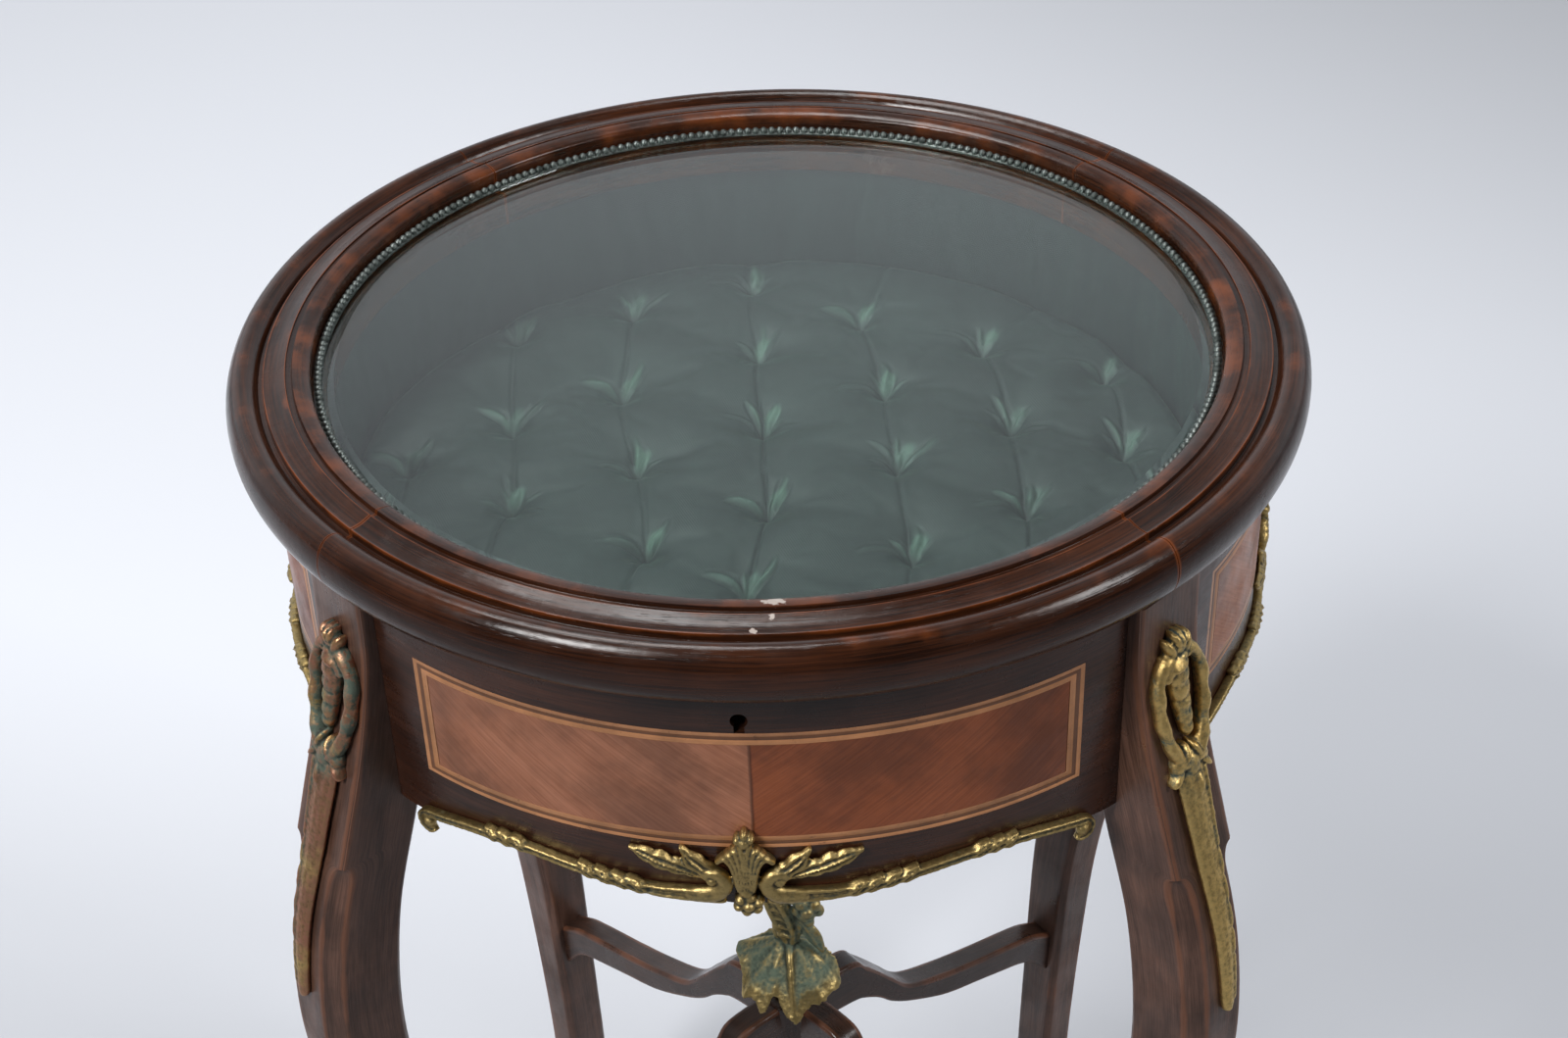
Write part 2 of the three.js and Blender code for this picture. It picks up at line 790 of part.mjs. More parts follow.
function makeAprons(table) {
  for (const [side, angle] of sides) {
    const group = aroundTable(angle);
    const reach = Math.ceil(panelHalfAngle(angle) / facetAngle + 0.5) * facetAngle - facetAngle / 2;
    const half = apronRadius * Math.sin(radians(panelHalfAngle(angle))) - stringSideInset;
    let panel = apronBody(panelHalfAngle(angle), reach);
    for (const cut of neighbourLegs(angle)) {
      panel = panel.subtract(cut);
    }
    const ground = apronShell(apronRadius - stringDepth - fitGap, lidRadius, -reach, reach);
    panel = panel.subtract(ground.intersect(borderPrism(half, fitGap)));
    if (side === 'front') {
      panel = panel.subtract(solid(lockRecess())).subtract(keyhole(apronThickness + cutOverrun));
    }
    if (side === 'back') {
      for (const [, centreX] of hingeCentres) {
        const low = caseLeafTop - hingeLeafThickness - fitGap;
        const mortice = hingeMortice(centreX, low, apronTop + cutOverrun);
        panel = panel.subtract(mortice.rotate([0, 0, 180]));
      }
    }
    place(group, `apron_${side}`, panel, veneer);
    const line = apronShell(apronRadius - stringDepth, apronRadius, -reach, reach);
    place(group, `string_border_${side}`, line.intersect(borderPrism(half, 0)), boxwood);
    place(group, `apron_mount_${side}`, apronMount(panelHalfAngle(angle)), gilt);
    table.add(group);
  }
}

function lockRecess() {
  const reach = lockWidth / 2 + fitGap;
  return block(
    -reach, reach, lockFaceY - lockThickness - fitGap, cutOverrun - apronInner + apronThickness,
    apronTop - lockHeight - fitGap, apronTop + cutOverrun,
  );
}

// The spaces that the two legs beside a panel take from it, in the panel's own frame.
function neighbourLegs(angle) {
  const half = stileSide / 2 + fitGap;
  const clear = angle % (2 * quarterAngle) === 0 ? legAngle : quarterAngle - legAngle;
  return [-clear, clear].map((turn) => {
    const space = block(
      -half, half, -lidRadius, 0, apronBottom - pendantDrop - cutOverrun, apronTop + cutOverrun,
    );
    return solid(space.rotateZ(radians(turn)));
  });
}

// A point on the apron's face: along it from the panel's middle, above its lower edge, and proud.
function onApron(along, rise, proud) {
  const angle = THREE.MathUtils.radToDeg(along / apronRadius);
  return polar(apronRadius + fitGap + proud, angle, apronBottom + rise);
}

// Raised work along rows of [across, up, half width, height], laid on a surface by its own mapping.
function relief(rows, sectionShares, onSurface, base) {
  const section = sectionShares.map(([x, y]) => new THREE.Vector2(x, y));
  const rings = rows.map(([x, y, half, proud], i) => {
    const before = rows[Math.max(i - 1, 0)];
    const after = rows[Math.min(i + 1, rows.length - 1)];
    const way = new THREE.Vector2(after[0] - before[0], after[1] - before[1]).normalize();
    return section.map((p) => onSurface(
      x - way.y * half * p.x, y + way.x * half * p.x, base + (proud - base) * p.y,
    ));
  });
  return skin(rings, section);
}

// A small rounded boss.
function boss(x, y, size, proud, onSurface, base) {
  const rows = bossShares.map(([way, share]) => [
    x, y + size * way, size / 2 * share, proud * share,
  ]);
  return relief(rows, roundSectionShares, onSurface, base);
}

function apronMount(halfAngle) {
  const arcLength = apronRadius * radians(halfAngle);
  const end = arcLength - apronRadius * radians(rodEndAngle) - scrollRadius;
  const edge = (along) => Math.max(edgeRise(Math.abs(along) / arcLength), 0) + rodRise;
  const pieces = [fan(edge(0))];
  for (const way of [-1, 1]) {
    const run = rodShares.map(([place, swell]) => [
      way * end * place, edge(end * place),
      lerp(rodWidth, wrapWidth, swell) / 2, lerp(rodProud, wrapProud, swell),
    ]);
    const middle = edge(end) - scrollRadius;
    const curl = [50, 0, -70].map((turn) => [
      way * (end + scrollRadius * Math.cos(radians(turn))),
      middle + scrollRadius * Math.sin(radians(turn)),
      rodWidth / 2,
      rodProud,
    ]);
    pieces.push(relief([...run, ...curl], roundSectionShares, onApron, 0));
    pieces.push(boss(way * end, middle, scrollBallSize, wrapProud, onApron, mountLayer));
    const rows = sprigShares.map(([place, widthShare]) => [
      way * (sprigWidth / 2 + sprigLength * place),
      edge(0) + sprigWidth * (1 + place) - rodRise,
      sprigWidth / 2 * widthShare,
      sprigProud * lerp(0.4, 1, widthShare),
    ]);
    pieces.push(relief(rows, ridgeSectionShares, onApron, mountLayer));
  }
  pieces.push(boss(0, edge(0) + fanHeight, berrySize, fluteProud, onApron, 2 * mountLayer));
  pieces.push(boss(0, edge(0) - berrySize / 2, berrySize, fluteProud, onApron, 2 * mountLayer));
  return join(...pieces);
}

// A fluted fan, spreading from its foot, with a valley between each pair of flutes.
function fan(foot) {
  const count = fanFlutes * 2;
  const low = fanHeight * fanFootShare;
  const rings = fanShares.map(([place, spreadShare, proudShare]) => {
    const face = [];
    const back = [];
    for (let i = 0; i <= count; i++) {
      const turn = radians(lerp(-fanSpreadAngle, fanSpreadAngle, i / count) * spreadShare);
      const reach = (fanHeight + low) * place * lerp(1, 0.86, Math.abs(2 * i / count - 1));
      const across = reach * Math.sin(turn);
      const up = foot - low + reach * Math.cos(turn);
      const proud = (i % 2 ? fluteProud : fluteValley) * proudShare;
      face.push(onApron(across, up, proud));
      back.unshift(onApron(across, up, mountLayer / 2));
    }
    return [...face, ...back];
  });
  const section = [];
  for (let i = 0; i <= count; i++) {
    section.push(new THREE.Vector2(i, 1));
  }
  for (let i = count; i >= 0; i--) {
    section.push(new THREE.Vector2(i, 0));
  }
  return skin(rings, section);
}

function makeCase(table) {
  const floorEdge = apronInner - fitGap;
  const floor = turned([
    new THREE.Vector2(0, caseFloorBottom),
    new THREE.Vector2(floorEdge, caseFloorBottom),
    new THREE.Vector2(floorEdge, caseFloorTop),
    new THREE.Vector2(0, caseFloorTop),
  ]);
  place(table, 'case_floor', floor, board);
  const lining = rectangle(
    liningInner, liningOuter, caseFloorTop + fitGap, apronTop - liningTopGap,
  );
  place(table, 'side_lining', turned(closedLoop(lining)), silk);
  place(table, 'buttoned_cushion', cushion(), silk);
}

// Depth of the padding's surface below its crown, from its drawn-down buttons and folds.
function tuftDip(x, y) {
  const column = Math.round((x - tuftShiftX) / tuftPitchX);
  const offX = x - tuftShiftX - column * tuftPitchX;
  const stagger = (Math.abs(column) % 2) / 2;
  const row = Math.round((y - tuftShiftY) / tuftPitchY - stagger);
  const offY = y - tuftShiftY - (row + stagger) * tuftPitchY;
  const pull = Math.exp(-(offX * offX + offY * offY) / (tuftSpread * tuftSpread));
  const fold = Math.exp(-(offX * offX) / (tuftSpread * tuftSpread / 2));
  return tuftDepth * pull + foldDepth * fold * (1 - pull);
}

function cushion() {
  const bottom = caseFloorTop + fitGap;
  const stepX = tuftPitchX / tuftStepsPerPitch;
  const stepY = tuftPitchY / tuftStepsPerPitch;
  const countX = Math.ceil(cushionRadius / stepX) + 2;
  const countY = Math.ceil(cushionRadius / stepY) + 2;
  const rings = [];
  for (let j = -countY; j <= countY; j++) {
    const y = tuftShiftY + j * stepY;
    const row = [];
    for (let i = -countX; i <= countX; i++) {
      const x = tuftShiftX + i * stepX;
      row.push(new THREE.Vector3(x, y, bottom + cushionHeight - tuftDip(x, y)));
    }
    const edge = tuftShiftX + countX * stepX;
    row.push(new THREE.Vector3(edge, y, bottom), new THREE.Vector3(2 * tuftShiftX - edge, y, bottom));
    rings.push(row);
  }
  const padding = skin(rings, rings[0].map((p) => new THREE.Vector2(p.x, p.z)));
  const edgeTop = bottom + cushionEdgeHeight;
  const round = cushionEdgeRound;
  const outline = [
    new THREE.Vector2(0, bottom),
    new THREE.Vector2(cushionRadius - cushionDrawIn, bottom),
    new THREE.Vector2(cushionRadius, bottom + cushionEdgeHeight / 2),
    ...arc(cushionRadius - round, edgeTop - round, round, round, 20, 70, 2),
    new THREE.Vector2(cushionRadius / 2, bottom + cushionHeight + cushionDrawIn),
    new THREE.Vector2(0, bottom + cushionHeight + cushionDrawIn),
  ];
  return solid(padding).intersect(solid(turned(outline)));
}

// The whole leg before its inner side is cut to the case.
function legShell(growth) {
  return legBody(growth, shoeSole + fitGap - growth, legTop + growth);
}

function makeLegs(table) {
  const hollow = solid(turned([
    new THREE.Vector2(0, apronBottom),
    new THREE.Vector2(apronInner, apronBottom),
    new THREE.Vector2(apronInner, apronTop + cutOverrun),
    new THREE.Vector2(0, apronTop + cutOverrun),
  ]));
  for (const [corner, angle] of corners) {
    const group = aroundTable(angle);
    const leg = solid(legShell(0)).subtract(hollow.rotate([0, 0, -angle]));
    place(group, `leg_${corner}`, leg, walnut);
    place(group, `corner_mount_${corner}`, cornerMount(), gilt);
    place(group, `foot_shoe_${corner}`, footShoe(), gilt);
    table.add(group);
  }
}

// A cast shoe round the foot, with a raised point in the middle of its front.
function footShoe() {
  const heights = Array.from({ length: shoeSteps + 1 }, (_, i) => (
    (shoeHeight + shoePeak) * (1 - i / shoeSteps)
  ));
  const rings = heights.map((height) => legSection(height, shoeWall + fitGap));
  const outer = solid(skin(rings, rings[0].map((p) => new THREE.Vector2(p.x, p.y))));
  const reach = footSide + kneeRadius;
  const half = footSide / 2 + shoeWall + fitGap;
  const cut = new THREE.Shape([
    new THREE.Vector2(-reach, shoeHeight - shoePeak),
    new THREE.Vector2(-half, shoeHeight),
    new THREE.Vector2(0, shoeHeight + shoePeak),
    new THREE.Vector2(half, shoeHeight),
    new THREE.Vector2(reach, shoeHeight - shoePeak),
    new THREE.Vector2(reach, shoeHeight + 2 * shoePeak),
    new THREE.Vector2(-reach, shoeHeight + 2 * shoePeak),
  ]);
  const above = new THREE.ExtrudeGeometry(cut, { depth: reach * 2, bevelEnabled: false })
    .rotateX(Math.PI / 2)
    .translate(0, 0, 0);
  return outer
    .subtract(solid(above))
    .subtract(solid(legBody(fitGap, shoeSole, shoeHeight + 2 * shoePeak)));
}

// A point on the leg's outer face: across it, at a height, and proud of it.
function onLeg(across, height, proud) {
  return new THREE.Vector3(across, -(legFace(height) + proud), height);
}

// The cast corner mount: leaf cluster, pierced head with a ribbed lobe, collar and ridged tail.
function cornerMount() {
  const top = apronTop - mountTopInset;
  const collar = top - mountHeadHeight;
  const high = top - knobSize / 2;
  const sunk = -mountBase;
  const pieces = [
    boss(0, high - knobSize / 8, knobSize, mountProud, onLeg, sunk),
    boss(-knobSize * 0.6, high - knobSize * 0.7, knobSize * 0.9, mountProud * 0.8, onLeg, sunk),
    boss(knobSize * 0.6, high - knobSize * 0.6, knobSize * 0.9, mountProud * 0.9, onLeg, sunk),
    boss(-mountTailWidth / 4, collar + collarHeight / 2, collarHeight, mountProud, onLeg, sunk),
    boss(mountTailWidth / 4, collar + collarHeight / 2, collarHeight, mountProud, onLeg, sunk),
    boss(0, collar, collarHeight * 1.3, mountProud * 1.15, onLeg, sunk),
    ribbedLobe(high - knobSize, collar + collarHeight),
    mountTail(collar),
  ];
  for (const way of [-1, 1]) {
    const rows = loopShares.map(([acrossShare, downShare, widthShare]) => [
      way * mountHalfWidth * acrossShare, lerp(high, collar, downShare),
      loopWidth / 2 * widthShare, loopProud * lerp(0.7, 1, widthShare),
    ]);
    pieces.push(relief(rows, bluntSectionShares, onLeg, sunk));
  }
  return join(...pieces).subtract(solid(legShell(fitGap)));
}

// The swelling between the loops, with raised bands across it.
function ribbedLobe(high, low) {
  const steps = lobeRibs * 2;
  const rows = Array.from({ length: steps + 1 }, (_, i) => {
    const share = i / steps;
    const swell = Math.sin(Math.PI * lerp(0.3, 0.86, share));
    const rib = i % 2 ? lobeRibWidth / 2 : 0;
    return [0, lerp(high, low, share), lobeWidth / 2 * swell + rib, mountProud * swell + rib];
  });
  return relief(rows, bluntSectionShares, onLeg, -mountBase);
}

function mountTail(top) {
  const rows = Array.from({ length: tailSteps + 1 }, (_, i) => {
    const share = i / tailSteps;
    const half = lerp(mountTailWidth, mountTipWidth, share ** 0.8) / 2;
    return [0, top - mountTailLength * share, half, mountProud * lerp(1, 0.6, share)];
  });
  return relief(rows, bluntSectionShares, onLeg, -mountBase);
}

// Side outline of a stretcher arm from leg to hub: x is the radius, y the height.
function armOutline() {
  const low = armEndHeight - armEndDepth;
  const line = (column) => new THREE.SplineCurve(armShares.map((row) => new THREE.Vector2(
    armReach * row[0], lerp(low, hubHeight, row[column]),
  ))).getPoints(armSteps);
  return [...line(1), ...line(2).reverse()];
}

function makeStretcher(table) {
  for (const [corner, angle] of corners) {
    const group = aroundTable(angle);
    const arm = new THREE.ExtrudeGeometry(new THREE.Shape(armOutline()), {
      depth: armWidth - 2 * armBevel,
      bevelThickness: armBevel,
      bevelSize: armBevel,
      bevelOffset: -armBevel,
      bevelSegments: 1,
    })
      .translate(0, 0, armBevel - armWidth / 2)
      .rotateX(Math.PI / 2)
      .rotateZ(-Math.PI / 2);
    const body = solid(arm)
      .subtract(solid(legShell(fitGap)))
      .subtract(solid(hub(fitGap).rotateZ(radians(-angle))));
    place(group, `stretcher_arm_${corner}`, body, walnut);
    table.add(group);
  }
  place(table, 'stretcher_hub', hub(0), walnut);
  place(table, 'leaf_finial', finial(), patina);
}

// Eight-sided block where the arms meet, its flats square to them.
function hub(growth) {
  const radius = (hubSide / 2 + growth) / Math.cos(Math.PI / 8);
  const depth = hubDepth + 2 * growth;
  return new THREE.CylinderGeometry(radius, radius * hubTaper, depth, 8)
    .rotateX(Math.PI / 2)
    .rotateZ(Math.PI / 8)
    .translate(0, 0, hubHeight - hubDepth / 2);
}

// A vine leaf bent down over the hub, with a forked stem rising from it to a scroll and a bud.
function finial() {
  const base = hubHeight + fitGap;
  const foot = new THREE.CylinderGeometry(
    finialBaseRadius * 0.8, finialBaseRadius, finialBaseHeight, 10,
  ).rotateX(Math.PI / 2).translate(0, 0, base + finialBaseHeight / 2);
  const fork = lerp(base, stemTopHeight, 0.62);
  const stem = rod([
    new THREE.Vector3(0, 0, base + finialBaseHeight / 2),
    new THREE.Vector3(0, -leafForward, lerp(base, stemTopHeight, 0.35)),
    new THREE.Vector3(0, -leafForward, fork),
    new THREE.Vector3(-stemSway, -leafForward * 1.5, stemTopHeight),
  ], stemThickness, stemSteps, stemSides);
  const budCentre = new THREE.Vector3(stemSway * 1.2, -leafForward * 1.4, stemTopHeight - budSize / 2);
  const branch = rod([
    new THREE.Vector3(0, -leafForward, lerp(base, stemTopHeight, 0.5)),
    new THREE.Vector3(stemSway / 2, -leafForward, fork),
    budCentre,
  ], stemThickness, stemSteps / 2, stemSides);
  const bud = swelling(budCentre, budSize, budSize, budSize * 1.3, 18, 7, 5);
  const bractCentre = new THREE.Vector3(stemSway, -leafForward * 1.8, fork - bractLength / 6);
  const bract = swelling(bractCentre, bractWidth, bractWidth, bractLength, -14, 5, 4);
  const scroll = swelling(
    new THREE.Vector3(-stemSway, -leafForward * 1.5, stemTopHeight), stemThickness * 1.3,
    stemThickness * 1.2, stemThickness * 1.1, 30, 6, 4,
  );
  return join(foot, stem, branch, bud, bract, scroll, leaf());
}

// A lobed leaf, thin and bent down at its tip.
function leaf() {
  const spokes = (leafOutlineShares.length - 1) * 2;
  const surface = (turn, share, side) => {
    const angle = (turn / spokes) * 2 * Math.PI;
    const span = leafOutlineShares[Math.min(turn, spokes - turn)] * share;
    const x = Math.sin(angle) * span * leafHalfWidth;
    const y = -Math.cos(angle) * span * leafReach - leafForward;
    const drop = lerp(leafSideDrop, leafTipDrop, Math.max(Math.cos(angle), 0));
    return new THREE.Vector3(x, y, leafHeight - drop * span ** 1.6 - side * leafThickness);
  };
  const points = [];
  const order = [];
  const rowStart = (side) => side * (1 + leafRows * spokes);
  for (const side of [0, 1]) {
    points.push(surface(0, 0, side));
    for (let row = 1; row <= leafRows; row++) {
      for (let turn = 0; turn < spokes; turn++) {
        points.push(surface(turn, row / leafRows, side));
      }
    }
  }
  const at = (side, row, turn) => (
    row === 0 ? rowStart(side) : rowStart(side) + 1 + (row - 1) * spokes + (turn % spokes)
  );
  for (let turn = 0; turn < spokes; turn++) {
    order.push(at(0, 0, 0), at(0, 1, turn), at(0, 1, turn + 1));
    order.push(at(1, 0, 0), at(1, 1, turn + 1), at(1, 1, turn));
    for (let row = 1; row < leafRows; row++) {
      const [a, b] = [at(0, row, turn), at(0, row, turn + 1)];
      const [c, d] = [at(0, row + 1, turn), at(0, row + 1, turn + 1)];
      order.push(a, c, d, a, d, b);
      const [e, f] = [at(1, row, turn), at(1, row, turn + 1)];
      const [g, h] = [at(1, row + 1, turn), at(1, row + 1, turn + 1)];
      order.push(e, h, g, e, f, h);
    }
    const [a, b] = [at(0, leafRows, turn), at(0, leafRows, turn + 1)];
    const [c, d] = [at(1, leafRows, turn), at(1, leafRows, turn + 1)];
    order.push(a, c, d, a, d, b);
  }
  const geometry = new THREE.BufferGeometry();
  geometry.setAttribute(
    'position', new THREE.Float32BufferAttribute(points.flatMap((p) => [p.x, p.y, p.z]), 3),
  );
  geometry.setIndex(order);
  return outward(geometry);
}

const displayTable = new THREE.Group();
const lid = makeLid();
makeHinges(displayTable, lid);
makeLegs(displayTable);
makeAprons(displayTable);
makeCase(displayTable);
makeStretcher(displayTable);
displayTable.add(makeLock(displayTable), lid);

export default displayTable;
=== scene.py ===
"""Looks of a round glazed display table: polished wood, inlaid veneer, cast mounts and buttoned silk.

Shapes are written in millimetres and set down in metres. X is the width, -Y is the front and Z is up from the
floor. Angles round the table start at the front and grow towards +X.
"""
import logging
import math
from dataclasses import dataclass, field, replace
from enum import Enum
from typing import Callable, Sequence

import bmesh
import bpy
import numpy as np
from mathutils import Matrix, Vector, noise
from mathutils.bvhtree import BVHTree


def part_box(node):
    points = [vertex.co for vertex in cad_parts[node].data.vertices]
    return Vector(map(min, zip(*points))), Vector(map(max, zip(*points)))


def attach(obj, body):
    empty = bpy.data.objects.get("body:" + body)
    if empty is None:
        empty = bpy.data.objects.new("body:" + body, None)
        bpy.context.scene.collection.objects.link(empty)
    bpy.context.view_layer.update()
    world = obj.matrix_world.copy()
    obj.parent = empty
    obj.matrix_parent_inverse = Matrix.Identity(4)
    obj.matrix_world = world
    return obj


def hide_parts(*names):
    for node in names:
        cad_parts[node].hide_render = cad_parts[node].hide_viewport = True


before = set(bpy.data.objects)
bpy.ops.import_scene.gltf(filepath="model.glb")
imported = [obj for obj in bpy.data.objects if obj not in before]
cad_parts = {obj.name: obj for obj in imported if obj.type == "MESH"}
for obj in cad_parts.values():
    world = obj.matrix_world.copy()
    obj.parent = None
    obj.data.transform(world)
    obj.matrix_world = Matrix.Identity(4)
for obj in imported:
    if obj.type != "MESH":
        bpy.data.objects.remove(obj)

MM = 0.001
Colour = tuple[float, float, float]
Array = np.ndarray
Number = Array | float
Rows = Sequence[Sequence[float]]
Piece = bpy.types.Object
Socket = bpy.types.NodeSocket
Tree = bpy.types.NodeTree
Mapping = Callable[[Array, Array, Array], Array]
log = logging.getLogger("display_table")

# The recesses for the two hinges at the back, and from corner to corner those for the lock at the front
HINGE_PLACE = 38
HINGE_HALF = 19.3
HINGE_INNER = 218.9
HINGE_OUTER = 262
STRIKE_RECESS = ((-17.3, -222.5, 720), (17.3, -213.4, 728.8))
BOLT_RECESS = ((-6.4, -220.35, 720), (6.4, -215.55, 733.8))
LOCK_RECESS = ((-23.3, -222.5, 692.1), (23.3, -205, 730.4))


class Side(Enum):
    """The four panels of the case, with the middle angle and the half angle to the legs beside each."""

    FRONT = ("front", 0.0, 47.5)
    RIGHT = ("right", 90.0, 42.5)
    BACK = ("back", 180.0, 47.5)
    LEFT = ("left", 270.0, 42.5)

    def __init__(self, label: str, angle: float, clear: float) -> None:
        """Keeps the values under plain names."""
        self.label = label
        self.angle = angle
        self.clear = clear


class Corner(Enum):
    """The four legs, with each one's angle round the table and how coppery its mount has worn."""

    FRONT_LEFT = ("front_left", -47.5, 0.68)
    FRONT_RIGHT = ("front_right", 47.5, 0.08)
    REAR_RIGHT = ("rear_right", 132.5, 0.25)
    REAR_LEFT = ("rear_left", 227.5, 0.3)

    def __init__(self, label: str, angle: float, copper: float) -> None:
        """Keeps the values under plain names."""
        self.label = label
        self.angle = angle
        self.copper = copper


class Space(Enum):
    """Where a finish takes its place on a piece from."""

    GRAIN = "UV"
    SOLID = "Object"


# Shapes


def polar(radius: Number, angle: Number, height: Number) -> Array:
    """Points round the table's axis.

    Args:
        radius: Distances from the axis.
        angle: Angles in degrees from the front.
        height: Heights above the floor.

    Returns:
        An array of points, one for each set of values.
    """
    turn = np.radians(angle)
    parts = np.broadcast_arrays(radius * np.sin(turn), -radius * np.cos(turn), height)
    return np.stack(parts, -1).astype(float)


def turned_about(points: Array, angle: float) -> Array:
    """Points turned about the table's axis.

    Args:
        points: Points in a frame whose -Y looks out of the table.
        angle: Degrees from the front.

    Returns:
        The turned points.
    """
    c, s = math.cos(math.radians(angle)), math.sin(math.radians(angle))
    return points @ np.array([[c, s, 0], [-s, c, 0], [0, 0, 1]])


def flowing(points: Rows, count: int) -> Array:
    """A smooth line through points, even in steps from point to point.

    Args:
        points: Rows of numbers to pass through.
        count: How many rows to give back.

    Returns:
        The rows along the line.
    """
    knots = np.asarray(points, float)
    last = len(knots) - 1
    at = np.linspace(0, last, count)
    low = np.minimum(at.astype(int), last - 1)
    w = (at - low)[:, None]
    a, b, c, d = (knots[np.clip(low + k, 0, last)] for k in (-1, 0, 1, 2))
    u, v = (c - a) / 2, (d - b) / 2
    return (2 * b - 2 * c + u + v) * w**3 + (-3 * b + 3 * c - 2 * u - v) * w**2 + u * w + b


def heading(line: Array) -> Array:
    """Steps of length one along a line."""
    way = np.gradient(line, axis=0)
    return way / np.maximum(np.linalg.norm(way, axis=1, keepdims=True), 1e-9)


def circle(count: int) -> Array:
    """Angles in even steps once round, in degrees from the front."""
    return np.linspace(0, 360, count + 1)[:-1]


def ease(value: Number, low: float, high: float) -> Array:
    """Rises smoothly from 0 at low to 1 at high."""
    share = np.clip((np.asarray(value, float) - low) / (high - low), 0, 1)
    return share * share * (3 - 2 * share)


def eased_corners(outline: Rows, steps: int = 4) -> Array:
    """Rounds the corners of a closed outline.

    Args:
        outline: Rows of x, y, corner radius and wear.
        steps: Steps round each corner.

    Returns:
        Rows of x, y and wear.
    """
    rows = np.asarray(outline, float)
    out = []
    for k, (x, y, radius, wear_and_highlight) in enumerate(rows):
        here = rows[k, :2]
        if radius <= 0:
            out.append([x, y, wear_and_highlight])
            continue
        before, after = rows[k - 1, :2] - here, rows[(k + 1) % len(rows), :2] - here
        reach = min(radius, 0.45 * np.linalg.norm(before), 0.45 * np.linalg.norm(after))
        start = here + before / np.linalg.norm(before) * reach
        end = here + after / np.linalg.norm(after) * reach
        for t in np.linspace(0, 1, steps + 1):
            point = (1 - t) ** 2 * start + 2 * t * (1 - t) * here + t * t * end
            out.append([*point, wear_and_highlight])
    return np.array(out)


def with_flats(outline: Array, run: int, gap: float = 1.2) -> Array:
    """Adds two unworn points to each flat, so that only the rounded corners look rubbed.

    Args:
        outline: Rows of x, y and wear with rounded corners.
        run: How many points each corner has.
        gap: How far from a corner the points lie.

    Returns:
        The longer rows.
    """
    out = []
    for k, row in enumerate(outline):
        out.append(row)
        if k % run == run - 1:
            after = outline[(k + 1) % len(outline)]
            span = after[:2] - row[:2]
            step = min(gap / np.linalg.norm(span), 0.35)
            out += [[*(row[:2] + step * span), 0], [*(after[:2] - step * span), 0]]
    return np.array(out)


def run_of(points: Array) -> Array:
    """Distance along a row of points, from its first."""
    return np.concatenate([[0.0], np.cumsum(np.linalg.norm(np.diff(points, axis=0), axis=1))])


def adjust(thing: object, **settings: object) -> None:
    """Sets several properties of a thing."""
    for key, value in settings.items():
        setattr(thing, key, value)


def placed(name: str, data: bpy.types.ID) -> Piece:
    """A new object in the scene."""
    piece = bpy.data.objects.new(name, data)
    bpy.context.scene.collection.objects.link(piece)
    return piece


def shaped(piece: Piece, kind: str, **settings: object) -> None:
    """Gives a piece a modifier."""
    adjust(piece.modifiers.new(kind.lower(), kind), **settings)


def piece_of(name: str, points: Array, faces: Sequence[Sequence[int]]) -> Piece:
    """A smooth-shaded mesh from points and faces.

    Args:
        name: The piece's name.
        points: Points in millimetres.
        faces: Rows of point numbers.

    Returns:
        The new object, in the scene.
    """
    mesh = bpy.data.meshes.new(name)
    mesh.from_pydata((np.asarray(points, float).reshape(-1, 3) * MM).tolist(), [], faces)
    mesh.update()
    mesh.polygons.foreach_set("use_smooth", np.ones(len(mesh.polygons), bool))
    return placed(name, mesh)


def paint(piece: Piece, name: str, values: Array) -> None:
    """Keeps one number for each point of a mesh under a name."""
    layer = piece.data.attributes.get(name) or piece.data.attributes.new(name, "FLOAT", "POINT")
    layer.data.foreach_set("value", np.asarray(values, np.float32).ravel())


def places(piece: Piece) -> Array:
    """The points of a piece, in millimetres."""
    flat = np.zeros(len(piece.data.vertices) * 3, np.float32)
    piece.data.vertices.foreach_get("co", flat)
    return flat.reshape(-1, 3).astype(float) / MM


